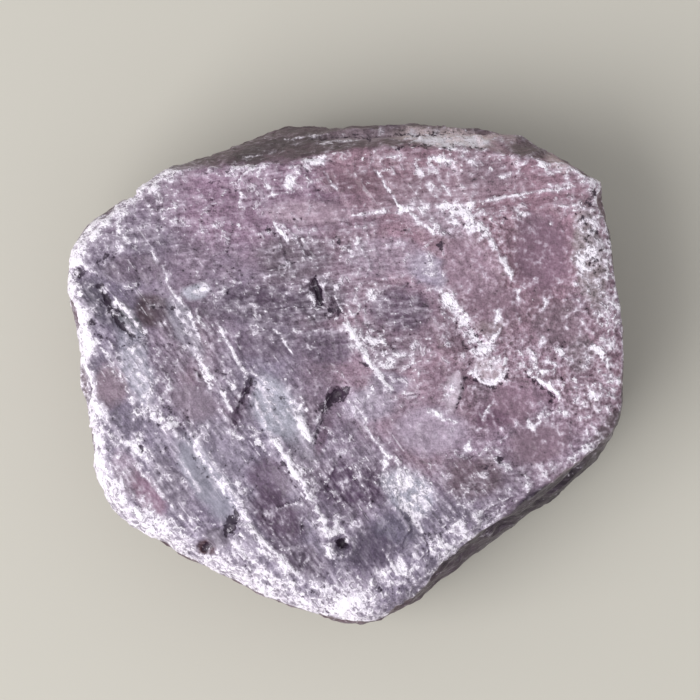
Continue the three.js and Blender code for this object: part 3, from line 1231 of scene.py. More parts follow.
def crest(half_width: float, lift: float, powder: float, *line: Point) -> Mark:
    """Returns a worn crest along a line."""
    return Mark(Stroke(line, half_width, 1.0), CREST_EASE * lift, powder)


def scratch(half_width: float, powder: float, *line: Point) -> Mark:
    """Returns a white scratch along a line."""
    return Mark(Stroke(line, half_width, 1.0), -SCRATCH_DEPTH, powder)


def veil(half_width: float, powder: float, *line: Point) -> Mark:
    """Returns a broad thin band of powder along a line."""
    return Mark(Stroke(line, half_width, 1.0), 0.0, powder)


def crack(half_width: float, depth: float, dirt_and_shade: float, *line: Point) -> Mark:
    """Returns a dark crack along a line; where it follows a shaded riser, a flake's edge or a groove, the
    dark is painted shade.
    """
    return Mark(Stroke(line, half_width, 1.0), -depth, 0.0, dirt_and_shade)


def powder(x: float, y: float, half: Point, azimuth: float, amount: float) -> Mark:
    """Returns a patch of white powder."""
    return Mark(Patch((x, y), half, azimuth, 1.0), POWDER_DEPTH, amount)


def hollow(x: float, y: float, half: Point, azimuth: float, depth: float, dirt_and_shade: float) -> Mark:
    """Returns a dark hollow."""
    return Mark(Patch((x, y), half, azimuth, 1.0), -depth, 0.0, dirt_and_shade)


@dataclass(frozen=True)
class ColourArea:
    """An area of the top face with its own colour; some of these areas are painted sheen, highlight or shade.

    Attributes:
        area: Its oval, with a strength of 0 to 1.
        colour: Its colour, red, green and blue of 0 to 255.
        calm: How smooth and free of flecks it is, 0 to 1.
    """

    area: Patch
    colour: Colour
    calm: float = 0.0


def colour_area(
    x: float, y: float, half: Point, azimuth: float, colour: Colour, amount: float, calm: float = 0.0
) -> ColourArea:
    """Returns an oval area of colour with its middle at x, y."""
    return ColourArea(Patch((x, y), half, azimuth, amount), colour, calm)


@dataclass(frozen=True)
class Side:
    """The white crust along the rim on one side of the stone, and the wall under it.

    Attributes:
        azimuth: The side's direction, in degrees.
        width: Width of the crust.
        amount: Its amount at the rim.
        wear: How white the worn edges are; kept low on several sides, and under the back bevel and on the
            lower right, which face away from the lamp, this is painted shade.
        wall: Colour of the wall; the dark colours of the lower right are painted shade of the side that faces
            away from the lamp.
    """

    azimuth: float
    width: float
    amount: float
    wear: float = 1.0
    wall: Colour = (98, 78, 88)


def linear(colour: Colour) -> Array:
    """Returns a colour of 0 to 255 as linear light."""
    shown = np.array(colour, dtype=float) / 255.0
    return np.where(shown <= 0.04045, shown / 12.92, ((shown + 0.055) / 1.055) ** 2.4)


# ---- Where the marks, colour areas and painted light are ---

COLOUR_AREAS: tuple[ColourArea, ...] = (
    colour_area(-10, 19.6, (10.0, 5.0), 4, (137, 109, 131), 0.85),
    # Painted sheen: the next two areas give the grey-blue band at the front left the silvery sheen of a
    # smooth facet.
    colour_area(-15.8, -12, (5.6, 2.1), -58, (154, 151, 166), 0.9, 0.9),
    colour_area(-14, -8.2, (4.4, 2.2), -58, (142, 132, 150), 0.7, 0.2),
    colour_area(-8.6, -12, (2.6, 2.4), -20, (100, 82, 102), 0.85, 0.4),
    colour_area(-7.8, -16.4, (3.8, 2.2), -50, (84, 64, 86), 0.9, 0.4),
    colour_area(-5.5, -21.2, (4.0, 1.8), -25, (96, 82, 100), 0.85, 0.2),
    colour_area(3, -20.2, (2.8, 2.6), 0, (78, 66, 86), 0.95, 0.4),
    colour_area(6.2, -17.6, (3.0, 1.6), 0, (98, 90, 110), 0.8, 0.3),
    colour_area(0.8, -12.8, (3.8, 2.4), 0, (76, 54, 80), 0.9, 0.1),
    colour_area(-9.4, 8.2, (5.5, 2.2), 0, (80, 64, 83), 0.9, 0.1),
    colour_area(-3, 8.6, (2.6, 2.8), 0, (80, 66, 82), 0.85),
    colour_area(-9.4, 3.6, (3.2, 1.8), -10, (100, 84, 103), 0.85, 0.3),
    colour_area(-2, 3.4, (3.2, 2.2), 0, (100, 84, 104), 0.85, 0.1),
    colour_area(6, 7.4, (3.8, 2.6), 0, (82, 64, 84), 0.85, 0.2),
    colour_area(22.4, 13.8, (3.2, 4.6), 0, (128, 100, 118), 0.9, 0.8),
    colour_area(21, 17.4, (1.6, 1.6), 0, (124, 99, 115), 0.7, 0.6),
    colour_area(17.2, 8, (3.4, 2.2), 0, (124, 100, 115), 0.8, 0.6),
    colour_area(24, 6, (3.0, 2.4), 0, (126, 105, 118), 0.7, 0.4),
    colour_area(26.8, 2.4, (1.6, 2.2), 0, (116, 102, 111), 0.7, 0.0),
    colour_area(19, -3.4, (2.8, 2.2), 0, (140, 112, 130), 0.9, 0.7),
    colour_area(16.8, -5, (2.0, 1.1), 0, (108, 80, 100), 0.9, 0.6),
    colour_area(22.3, -8, (3.6, 2.2), 20, (126, 103, 118), 0.9, 0.8),
    colour_area(14.8, -11.8, (3.6, 2.4), 0, (94, 74, 85), 0.8, 0.1),
    colour_area(9.8, -6.4, (4.0, 2.8), 0, (168, 151, 170), 0.85, 0.4),
    colour_area(-27, -1.2, (1.9, 2.4), 0, (134, 114, 127), 0.8, 0.5),
    colour_area(-17.4, -3.2, (2.8, 2.0), -30, (134, 119, 134), 0.8, 0.5),
    # Painted sheen on the grey facet beside the first notch.
    colour_area(-5, -7.4, (1.6, 3.0), 30, (160, 152, 166), 0.6, 0.2),
    colour_area(4.4, 3.4, (4.0, 2.6), -20, (112, 92, 108), 0.75),
    colour_area(-20, -12.8, (2.8, 1.6), -58, (100, 86, 104), 0.85, 0.5),
    colour_area(-25, -11.4, (1.4, 3.0), 20, (166, 148, 164), 0.7, 0.2),
    colour_area(14.5, 12.4, (4.0, 2.6), -40, (146, 122, 139), 0.6, 0.5),
    colour_area(10.4, 17.8, (5.0, 1.6), -20, (168, 148, 164), 0.7, 0.1),
    colour_area(1, 17.4, (3.0, 1.6), 0, (136, 112, 130), 0.6, 0.1),
    colour_area(-22.6, -13.8, (1.4, 2.8), 32, (143, 110, 131), 0.8, 0.6),
    colour_area(-20, -12.6, (1.6, 3.4), 32, (118, 108, 124), 0.8, 0.4),
    colour_area(-22.2, 7.4, (1.7, 2.1), 20, (78, 60, 70), 0.95, 0.5),
    colour_area(-24.9, 6.3, (2.9, 1.1), -50, (76, 76, 82), 0.95),
    colour_area(-20, 6.4, (1.7, 2.6), 20, (84, 68, 82), 0.9),
    colour_area(-19.8, 2.4, (1.5, 2.8), 25, (114, 100, 116), 0.7),
    colour_area(-28, 8.2, (1.5, 3.2), 30, (84, 76, 92), 0.9, 0.2),
    colour_area(-24, 12.2, (3.6, 1.7), 0, (104, 88, 104), 0.75, 0.1),
    colour_area(-5.8, 13.4, (4.4, 2.8), 0, (96, 81, 94), 0.8, 0.2),
    colour_area(0.6, 22.2, (4.0, 1.4), 0, (120, 91, 105), 0.8, 0.3),
    # Painted sheen: the grey facet beside the first notch.
    colour_area(-7.9, -4, (2.4, 4.0), 28, (160, 158, 172), 0.9, 0.4),
    # Painted shade: these two dark strips lie on the risers of the first two notches, which face away from
    # the lamp.
    colour_area(-12, -3.5, (2.9, 0.6), 69, (92, 70, 94), 0.85),
    colour_area(-2.6, -7, (2.6, 0.7), 70, (108, 86, 106), 0.8),
    colour_area(2.6, -3.4, (3.2, 1.9), 0, (156, 144, 162), 0.8),
    colour_area(5, -0.8, (2.4, 1.2), 0, (126, 112, 132), 0.8),
    colour_area(12.4, -2, (1.0, 2.2), -15, (186, 170, 184), 0.9, 0.6),
    colour_area(16.4, 0.5, (1.8, 1.4), -20, (180, 162, 172), 0.8, 0.5),
    colour_area(16.6, 5.2, (1.4, 1.2), 0, (134, 118, 124), 0.7, 0.6),
    # Painted sheen: the silvery band along the left.
    colour_area(-24, 1.4, (1.7, 4.8), 18, (158, 154, 170), 0.85, 0.3),
    colour_area(-18.4, 5.4, (1.4, 4.0), 25, (134, 128, 143), 0.7, 0.3),
    # Painted sheen: a bluish veil.
    colour_area(9.4, 12, (2.6, 1.6), -40, (150, 142, 162), 0.7, 0.4),
    colour_area(4.6, 13.4, (4.4, 2.4), 0, (146, 130, 148), 0.6, 0.1),
    colour_area(16.4, 23.2, (3.0, 1.4), 0, (128, 104, 118), 0.7, 0.3),
    colour_area(7.2, -13.4, (3.2, 2.2), -35, (176, 178, 192), 0.6),
    colour_area(12, 21.4, (8.0, 1.9), 5, (144, 120, 134), 0.7, 0.4),
    colour_area(-4.4, 18.6, (4.8, 1.5), 0, (164, 141, 156), 0.75, 0.4),
    # Partly white powder, partly painted light: this near-white strip on the back bevel also stands in for
    # the light that its ledge catches.
    colour_area(12.4, 27.8, (6.6, 1.3), 0, (236, 214, 218), 0.9),
    colour_area(-17.2, 9.6, (1.6, 1.0), 10, (198, 198, 212), 0.7, 0.5),
    # The same strip's brightest part: white powder with painted light.
    colour_area(12.4, 26.9, (4.4, 0.6), -3, (250, 236, 244), 0.9),
    colour_area(18.4, 26.6, (1.8, 1.3), 0, (170, 140, 154), 0.9),
    colour_area(20.6, 25.9, (2.2, 1.0), -5, (104, 84, 92), 0.9),
    colour_area(24.8, 24.8, (1.8, 1.3), 0, (190, 166, 170), 0.9),
    colour_area(1.6, 27.8, (4.4, 0.8), 0, (152, 132, 144), 0.8),
    colour_area(-9.6, 26, (4.0, 1.0), 20, (74, 60, 68), 0.8),
    # Painted shade: this dark strip along the lower-right rim stands in for the shaded wall below it.
    colour_area(21.2, -14.9, (3.4, 1.0), 40, (42, 26, 46), 1.0, 0.9),
    colour_area(-15.9, -19.9, (1.2, 0.9), 0, (78, 50, 58), 1.0, 0.6),
    colour_area(-14.6, -18.8, (1.7, 1.1), -20, (108, 98, 112), 0.9, 0.8),
    colour_area(28, 13.6, (1.8, 6.0), 8, (138, 126, 130), 0.8),
    # Painted shade: two more dark strips along the lower-right rim.
    colour_area(16.2, -18.6, (3.6, 0.6), 40, (76, 60, 72), 0.9, 0.7),
    colour_area(30.2, -6, (2.6, 0.8), 55, (96, 82, 88), 0.8, 0.5),
)

SIDES: tuple[Side, ...] = (
    Side(5, 4.0, 0.1, 0.8),
    Side(30, 3.4, 0.32),
    Side(48, 2.4, 0.25, 0.8),
    # Low wear from here to 118 degrees keeps the sides under the back bevel dark: painted shade.
    Side(68, 1.2, 0.1, 0.3),
    Side(92, 1.0, 0.0, 0.2),
    Side(118, 1.2, 0.05, 0.3),
    Side(132, 1.4, 0.32, 0.8),
    Side(158, 2.2, 0.46),
    Side(180, 2.4, 0.74),
    Side(200, 3.0, 0.47, 0.8),
    Side(215, 3.0, 0.3, 0.4),
    Side(232, 2.8, 0.38, 0.5),
    Side(252, 2.6, 0.46, 0.5),
    Side(270, 3.4, 0.4, 0.5),
    Side(280, 1.8, 0.15, 0.4),
    # The dark walls of the lower right are painted shade of the side that faces away from the lamp.
    Side(298, 1.2, 0.04, 0.3, (64, 46, 64)),
    Side(332, 1.2, 0.02, 0.2, (50, 36, 52)),
    Side(345, 2.4, 0.14, 0.6, (70, 58, 66)),
)

MARKS: tuple[Mark, ...] = (
    # worn crests along the falling direction
    crest(0.5, 0.22, 0.4, (-21, -5), (-19.3, -6.5), (-17.5, -8)),
    crest(0.3, 0.22, 0.7, (-17.5, -8), (-16, -10), (-14.8, -12), (-12.4, -15.2)),
    crest(0.3, 0.18, 0.65, (-12.4, -15.2), (-10.5, -18), (-7, -21.5), (-5, -23.5)),
    crest(0.25, 0.14, 0.4, (-10.4, -2.7), (-9.2, -5.4), (-8.1, -7.8)),
    crest(0.3, 0.18, 0.8, (-8.1, -7.8), (-6.8, -9.8), (-5.3, -12.2)),
    crest(0.26, 0.18, 0.58, (-5.3, -12.2), (-4, -14.5), (-2.5, -16.8), (-1.6, -18.4)),
    crest(0.6, 0.1, 0.5, (11.8, 18.8), (12.8, 17.4)),
    crest(0.6, 0.12, 0.3, (13.6, 18.8), (15.4, 16), (17, 14.4), (18, 13)),
    crest(0.35, 0.08, 0.6, (18, 13), (18.4, 12), (19, 11)),
    crest(0.5, 0.14, 0.35, (11, 9.8), (12, 8.4), (13.6, 6.2), (14.8, 4.4)),
    crest(0.5, 0.1, 0.8, (14.6, 4.6), (15.4, 3.6), (16.8, 2.8)),
    crest(0.28, 0.1, 0.65, (-0.2, 6.4), (0.9, 4.4), (2.6, 1.8), (3.9, 0), (5.3, -1.6)),
    crest(0.45, 0.16, 1.0, (-5.3, -4.8), (-4.7, -6.2), (-3.9, -7.8)),
    crest(0.34, 0.14, 0.3, (-26.6, 8.6), (-24.8, 6.6), (-22.9, 4.4)),
    crest(0.2, 0.06, 0.8, (-14.4, 5.5), (-13, 3), (-11.4, 0.2)),
    scratch(0.14, 0.8, (-8.3, 5.3), (-7.3, 4.1), (-5.9, 2.4)),
    scratch(0.18, 0.8, (-14.4, -1.8), (-13.7, -3), (-13, -4.3)),
    scratch(0.16, 0.7, (1.8, -5.3), (3.6, -7.8), (5.3, -9.9)),
    crest(0.3, 0.05, 0.3, (-20, 9), (-18.6, 6), (-17, 3), (-15.8, 0), (-15.4, -2.6)),
    # worn crests in the other directions
    crest(0.22, 0.1, 0.5, (0, 18.2), (3, 18.6), (8, 19), (12, 19.4)),
    crest(0.14, 0.1, 0.42, (12, 19.4), (16, 20), (21, 20.9), (26.6, 21.6)),
    crest(0.28, 0.16, 1.0, (14.3, 0.3), (15.5, -0.5), (16.7, -1.1), (17.8, -0.2), (18.3, 1.8)),
    crest(0.3, 0.14, 1.0, (20.5, 1.2), (21.3, -0.1), (22.5, -1.1), (24.5, -2.1)),
    crest(0.3, 0.1, 0.9, (28.1, 3.4), (29, 2.4), (30, 1.4)),
    crest(0.3, 0.1, 0.7, (18.1, 5.8), (17.6, 4.8), (16.7, 3.9)),
    crest(0.3, 0.12, 0.7, (9.8, -3.8), (11, -4.9), (12.7, -5.6)),
    scratch(0.25, 1.0, (20.9, -4.6), (20.8, -5.5), (21.6, -6), (22.3, -5.4)),
    scratch(0.2, 0.9, (15.4, -4.5), (15.7, -5.2)),
    crest(0.6, 0.32, 0.76, (7, 27.3), (10, 27.5), (13, 27.4), (16.4, 27)),
    crest(0.5, 0.05, 0.32, (-17, 23), (-13, 23.6), (-9, 23.8)),
    crest(0.3, 0.1, 0.5, (-14, -6.6), (-12, -7), (-9, -6.6)),
    # scratches
    scratch(0.16, 0.8, (-22.3, 14.2), (-21, 12.2), (-20, 9.9), (-18.3, 7.7)),
    scratch(0.16, 0.6, (-18.3, 7.7), (-17.2, 5.4), (-16.5, 4)),
    scratch(0.2, 0.9, (-8.2, 17.4), (-7.1, 16.2), (-6.3, 14.9)),
    scratch(0.3, 0.8, (-9, 21.9), (-8.1, 20.5)),
    scratch(0.15, 0.9, (3.4, 23.7), (4.5, 21.8), (5.5, 20.5), (7, 18.8)),
    scratch(0.14, 0.75, (7, 18.8), (8.6, 17.4), (10.4, 16)),
    scratch(0.3, 0.5, (8, 24), (9.4, 21.8), (10.6, 20)),
    scratch(0.2, 0.5, (9.6, 24.2), (11, 22), (12, 20.4)),
    scratch(0.16, 0.5, (-2.4, 23.4), (-0.8, 21)),
    scratch(0.12, 0.7, (-7, 27.4), (-1, 28)),
    scratch(0.12, 0.6, (-3, 26.7), (2, 27.2)),
    scratch(0.1, 0.5, (-12, 25), (-7, 26)),
    scratch(0.12, 0.6, (2, 28.1), (7, 28.5)),
    scratch(0.14, 0.5, (17, 27.4), (20, 27)),
    scratch(0.18, 0.6, (5.5, 2.4), (8, 2.4)),
    scratch(0.18, 0.8, (16.8, -3.2), (15.7, -5.2)),
    scratch(0.16, 0.8, (4.2, -20.2), (5.5, -22)),
    scratch(0.35, 0.5, (7.5, -16), (8.8, -18.3)),
    scratch(0.35, 0.6, (14.4, -7.4), (13.2, -9.4)),
    scratch(0.14, 0.5, (-15.5, -9), (-13.2, -13.2), (-11.6, -15)),
    scratch(0.16, 0.5, (-17.2, 2.6), (-15.6, -1.6)),
    scratch(0.3, 0.55, (-28, 3), (-25.6, -0.8), (-24, -4)),
    scratch(0.4, 0.6, (-27.2, -6.6), (-24.6, -8.2), (-22.6, -10)),
    scratch(0.3, 0.5, (-25, -9.8), (-22, -12.6), (-18.6, -16.8)),
    scratch(0.3, 0.45, (-13.2, -19), (-11, -21), (-8.8, -23)),
    scratch(0.35, 0.6, (-10.4, -19.6), (-8.4, -21.2), (-6.4, -22.8)),
    scratch(0.2, 0.5, (-19, -9.6), (-16.6, -13.6)),
    scratch(0.25, 0.4, (-12.4, -3.2), (-10.6, -6.4), (-9, -9)),
    # veils along the falling direction: thin powder, whose colour also paints sheen
    veil(0.8, 0.1, (-30, 13.5), (-28.5, 11), (-26.6, 9)),
    veil(0.9, 0.24, (-25.2, 4), (-23.6, 0.6), (-23, -3), (-24.6, -6.2)),
    veil(0.6, 0.2, (-18.6, 7), (-17.5, 4), (-15.5, 0), (-14, -2)),
    veil(0.9, 0.36, (-21.5, -5), (-18, -6), (-16.5, -9.5), (-14.5, -12.5), (-12.5, -15), (-12, -17)),
    veil(0.6, 0.12, (-12, -17), (-9.5, -20), (-7, -23), (-4, -24.5)),
    veil(0.45, 0.3, (-25, -6), (-22.5, -9), (-21, -11), (-19.6, -13)),
    veil(0.6, 0.16, (-9.5, -5), (-6, -10), (-3.5, -14)),
    veil(0.8, 0.3, (-9.6, -0.8), (-8.4, -3.4), (-7, -6.6)),
    veil(0.9, 0.36, (-26.2, -9), (-25, -11.6), (-22.4, -15.4), (-18.6, -18)),
    # the worn rim at the right, and the patches over it
    veil(0.8, 0.3, (8.6, -23.6), (12, -20.8), (15.2, -17.8), (18.4, -15.2)),
    veil(0.5, 0.28, (22.8, -11.5), (26, -9.6), (28.6, -7)),
    # cracks, and painted shade on shaded risers, under flake edges and in grooves
    crack(0.3, 0.4, 1.1, (-3.4, 11.3), (-3.5, 10.4), (-3.1, 9.3), (-2.8, 8.2)),
    crack(0.2, 0.1, 0.5, (-10.9, -0.6), (-11.2, -1.6), (-11.6, -2.8)),
    crack(0.18, 0.05, 0.3, (-11.6, -2.8), (-12.2, -4.4), (-12.8, -6.2)),
    crack(0.14, 0.05, 0.35, (-2.4, -4.6), (-3.2, -6.4), (-3.8, -8.8)),
    crack(0.14, 0.05, 0.4, (13.7, -0.2), (13.2, -2.4), (12.4, -4.6)),
    crack(0.12, 0.1, 0.7, (5.6, 26.1), (12, 26.3), (16, 26.1)),
    crack(0.5, 0.0, 0.3, (3.5, 16.7), (6, 16.9), (9.4, 17.2)),
    crack(0.3, 0.1, 0.5, (20.3, 19.3), (20.1, 17)),
    crack(0.45, 0.15, 0.6, (-28, 10), (-27, 8), (-26, 6.4), (-24.4, 4.4)),
    crack(0.16, 0.05, 0.55, (14.6, -0.5), (16.7, -1.7), (17.9, -0.8), (18.5, 1.4)),
    crack(0.3, 0.05, 0.45, (21.2, -0.5), (22.3, -1.7), (24.3, -2.7)),
    crack(0.2, 0.1, 0.5, (-8.8, 17), (-7.6, 15.6)),
    crack(0.3, 0.05, 0.35, (-17.6, -9.2), (-15.4, -12.8)),
    crack(0.3, 0.05, 0.35, (-7.4, -9.8), (-5.6, -13.2)),
    # pits
    hollow(-1.3, -2.6, (1.5, 0.75), 38, 0.4, 0.75),
    hollow(-2.7, -3.9, (0.7, 0.45), 40, 0.1, 0.55),
    hollow(-0.2, -1.9, (0.7, 0.4), 50, 0.2, 0.8),
    hollow(2.3, 1.2, (0.5, 0.3), 0, 0.1, 0.8),
    hollow(-13.1, -17.4, (1.0, 1.5), -12, 0.4, 0.9),
    hollow(-0.4, -19.7, (0.5, 0.45), 0, 0.5, 1.3),
    hollow(-30.8, 11.7, (0.6, 0.4), 0, 0.3, 1.0),
    hollow(-28.2, 10.4, (0.5, 0.3), -20, 0.3, 0.9),
    hollow(-29.2, 6, (0.5, 0.4), 0, 0.15, 0.7),
    hollow(-27.4, 13.6, (1.2, 0.6), 30, 0.1, 0.45),
    hollow(-15.9, -19.8, (0.8, 0.6), 0, 0.35, 0.6),
    hollow(-23.5, -8.6, (0.22, 0.6), 0, 0.2, 0.9),
    hollow(-19.8, -12, (0.7, 0.5), 0, 0.1, 0.45),
    hollow(11, 14.7, (0.35, 0.5), 0, 0.2, 0.9),
    hollow(17.8, -9.9, (0.3, 0.5), 0, 0.2, 0.9),
    hollow(-0.9, 15.2, (0.35, 0.6), 0, 0.2, 0.8),
    hollow(-1.6, 7.4, (1.2, 0.9), 0, 0.1, 0.4),
    hollow(16, -10.8, (0.8, 0.6), 0, 0.1, 0.45),
    hollow(28.4, 21, (0.5, 0.7), 0, 0.1, 0.6),
    hollow(28.4, 12.9, (0.8, 0.7), 0, 0.2, 0.55),
    hollow(29, 16.4, (0.4, 0.3), 0, 0.15, 0.7),
    hollow(27.2, 17.6, (0.5, 0.6), 0, 0.1, 0.45),
    hollow(27.6, 20, (0.8, 0.4), -20, 0.1, 0.5),
    hollow(27.8, 14, (1.9, 6.5), 8, 0.0, 0.17),
    hollow(27.4, 3, (2.2, 3.6), 8, 0.0, 0.04),
    # powder
    powder(-13.2, -17.7, (0.4, 0.9), -12, 0.8),
    powder(-1.7, -2.7, (1.2, 0.3), 38, 0.42),
    powder(-2.6, -4, (0.6, 0.3), 40, 0.6),
    powder(0.5, -19.3, (0.4, 0.3), 0, 0.9),
    powder(-29.5, 7.4, (0.8, 1.0), 0, 0.75),
    powder(-26.2, 8.4, (1.3, 0.4), -50, 0.8),
    powder(-23.9, 4.6, (1.6, 0.35), -52, 0.75),
    powder(-27.6, 9.8, (0.5, 0.3), 0, 0.9),
    powder(-22, 8.2, (0.4, 0.4), 0, 0.5),
    powder(-15.8, 6.2, (1.4, 0.7), -50, 0.6),
    powder(-29.2, 3.3, (0.9, 1.2), 0, 0.85),
    powder(-23.4, -7.8, (0.7, 1.0), 0, 0.7),
    powder(-6.8, 22.3, (0.8, 1.1), 20, 0.9),
    powder(-3.0, 24.6, (1.7, 0.4), 4, 1.0),
    powder(-16.4, 10, (1.5, 0.6), 12, 1.0),
    powder(-6.4, 12.8, (0.3, 0.3), 0, 1.1),
    powder(-1.4, 15.4, (0.7, 0.6), 0, 0.6),
    powder(3, 8.9, (0.5, 0.7), 20, 0.8),
    powder(14.3, 18.9, (1.0, 0.7), 10, 0.8),
    powder(12.3, 18.2, (0.5, 0.7), 20, 0.7),
    powder(15.6, 16.6, (0.6, 0.9), 30, 0.85),
    powder(16.9, 14.9, (0.5, 0.6), 0, 0.8),
    powder(17.9, 13.5, (0.3, 0.7), 20, 0.7),
    powder(12, 8.3, (0.55, 0.9), 35, 0.9),
    powder(13.5, 6.4, (0.6, 0.7), 40, 0.9),
    powder(14.6, 4.8, (0.8, 0.6), 0, 0.85),
    powder(20, 21.6, (0.5, 0.3), 0, 0.6),
    powder(27, 6.4, (1.8, 4.0), 0, 0.12),
    powder(26.9, 13.2, (0.7, 0.9), 0, 0.95),
    powder(25.2, 19, (0.7, 0.5), 0, 0.8),
    powder(20.2, 18.7, (0.8, 0.3), -20, 0.8),
    powder(6.5, 19, (0.8, 0.6), 0, 0.8),
    powder(7.2, -12.8, (2.6, 1.5), -40, 0.75),
    powder(7.6, -15.4, (1.8, 1.2), -30, 0.6),
    powder(5.4, -10.8, (1.2, 0.6), -50, 0.5),
    powder(-1, -17.8, (2.0, 1.1), 10, 0.8),
    powder(-2, -20.6, (0.5, 1.1), 25, 0.7),
    powder(7, -22, (2.4, 1.4), 30, 0.8),
    powder(10.8, -19.6, (1.6, 0.8), 28, 0.65),
    powder(13.4, -17.4, (1.2, 0.6), 40, 0.45),
    powder(18.6, -10.7, (0.6, 0.6), 0, 0.7),
    powder(21.6, -4.8, (0.6, 0.4), 0, 0.5),
    powder(20.2, -11.4, (1.6, 0.9), 40, 0.3),
    powder(10, -4.2, (1.0, 0.6), -30, 0.55),
    powder(12, -1.6, (0.7, 1.3), -15, 0.85),
    powder(22.6, 0.3, (1.0, 2.0), 46, 0.55),
    powder(16.2, 0.5, (1.6, 1.0), -20, 0.4),
    powder(-5.7, -3.6, (1.2, 0.5), -15, 1.0),
    powder(-4.9, -5.6, (0.7, 1.4), 20, 1.0),
    powder(-3.6, -1.4, (1.2, 0.8), 40, 0.4),
    powder(2.8, 4, (1.5, 0.5), -20, 0.8),
    powder(4.8, 1.6, (0.8, 0.6), 0, 0.7),
    powder(14.1, -8.6, (0.4, 1.0), -20, 0.6),
    powder(4.8, -9.8, (0.7, 0.8), 0, 0.7),
    powder(12.6, 24.6, (3.2, 0.6), 0, 0.42),
    powder(12.6, 26.8, (3.6, 0.5), -3, 1.0),
    powder(8, 27, (1.8, 0.4), 0, 0.7),
    powder(17, 27, (2.0, 0.5), -8, 0.4),
    powder(-1.5, 27, (4.0, 0.4), 5, 0.25),
    powder(9.7, 24.3, (0.8, 0.6), 0, 0.9),
    powder(5.3, 25.2, (1.2, 0.4), 0, 0.6),
    powder(-20.4, -5.6, (1.8, 0.7), -35, 0.5),
    powder(-22.6, -3.6, (2.0, 1.8), 0, 0.4),
    powder(-26.4, -8, (1.0, 0.6), -30, 0.5),
    powder(1.6, -3, (1.8, 0.9), 30, 0.3),
    powder(2, -25.6, (3.4, 1.2), 15, 0.4),
    powder(4.8, -23.2, (2.2, 1.1), 20, 0.55),
    powder(19.8, 9.2, (0.25, 0.9), 20, 0.9),
    powder(20.6, 6.6, (0.9, 0.3), 20, 0.8),
    powder(17.4, 6.6, (0.3, 0.9), -10, 0.9),
    powder(22.8, 8.4, (0.3, 0.7), 0, 0.8),
    powder(22.6, 3.8, (0.4, 0.8), 30, 0.9),
    powder(24.6, 2.6, (0.35, 0.9), 20, 0.9),
    powder(23.4, 17.2, (0.4, 0.3), 0, 0.9),
    powder(18, 22.6, (0.9, 0.25), 10, 0.8),
    powder(22.6, 24, (0.9, 0.5), -20, 0.8),
    powder(-10.4, -12.6, (2.2, 1.4), -50, 0.12),
    powder(-7, -15.6, (1.6, 1.6), 0, 0.16),
    powder(-3.2, -12, (1.4, 1.2), 0, 0.14),
    # thin veils of powder
    powder(-23.6, 0.8, (1.2, 2.8), 24, 0.3),
    powder(-22, -1.4, (0.9, 1.8), 20, 0.35),
    powder(-8.6, -3.6, (1.8, 3.0), 28, 0.2),
    powder(-11.8, -6.6, (2.0, 0.8), -40, 0.2),
    powder(16.8, 2, (2.0, 2.2), 0, 0.3),
    powder(21.4, 2, (1.8, 1.4), 0, 0.42),
    powder(29.6, 6.6, (0.9, 2.0), 0, 0.4),
    powder(24.6, 22.4, (2.4, 1.4), 0, 0.25),
    powder(9, 18.6, (4.5, 0.7), 4, 0.35),
    powder(10, 22.4, (2.0, 2.2), 0, 0.26),
    powder(14.6, 17.2, (2.2, 1.6), -50, 0.3),
    powder(-8.4, 23.2, (6.0, 0.6), 5, 0.2),
    powder(28.4, 16, (1.0, 2.4), 0, 0.3),
    powder(1.8, 4.6, (1.4, 2.6), 40, 0.25),
    powder(9.6, 12, (2.4, 1.1), -40, 0.42),
    powder(3, 14.4, (2.6, 1.4), 0, 0.2),
    powder(-15.4, -6.8, (2.4, 1.6), 0, 0.2),
    powder(-16, -6, (1.8, 1.2), -50, 0.2),
    powder(-6.2, -9, (1.4, 2.6), 30, 0.2),
    powder(0, 17.2, (3.0, 1.3), 5, 0.2),
    powder(12, 17.6, (3.0, 1.6), -20, 0.24),
    powder(6, -12.8, (2.6, 2.2), -30, 0.26),
    powder(-5.4, -24, (3.4, 0.9), -12, 0.4),
    powder(-26, -12.4, (1.0, 2.2), 25, 0.3),
    powder(29.8, 2.2, (1.0, 2.0), 0, 0.3),
    powder(28.2, -2.8, (1.6, 1.6), 0, 0.3),
    powder(25.8, 22.6, (2.0, 1.1), -30, 0.3),
    powder(16, 3, (1.6, 1.6), 0, 0.24),
    powder(20.5, 8, (2.0, 2.0), 0, 0.14),
    powder(-20.4, -1.6, (1.2, 2.2), 20, 0.26),
    powder(-23.4, 16.6, (4.6, 2.0), 38, 0.27),
)

# ---- Weathering ------------


def up_to(height: Array, rule: Point) -> Array:
    """Returns an amount for heights in millimetres: so much for each, up to the rule's second number."""
    return rule[0] * np.clip(height, 0.0, rule[1])


@dataclass(frozen=True)
class Surface:
    """The stone's finished points, and what its colours and powder depend on at each of them.

    Attributes:
        form: The stone's shape.
        points: Places in rows of three.
        ragged: The places along the width and the depth, shifted a little for ragged edges.
        top: Share of the top face, 0 to 1.
        edges: How far each place stands out from its near and wider surroundings, in millimetres.
    """

    form: StoneForm
    points: Array
    ragged: tuple[Array, Array]
    top: Array
    edges: tuple[Array, Array]

    def azimuth(self) -> Array:
        """Returns the azimuth of each place as seen from the upright axis, in degrees."""
        return azimuth_of(*self.points.T[:2])

    def on_bevel(self) -> Array:
        """Returns how far each place belongs to the back bevel, 0 to 1."""
        return smooth(self.form.past_crest(*self.ragged) / self.form.bevel_edge)


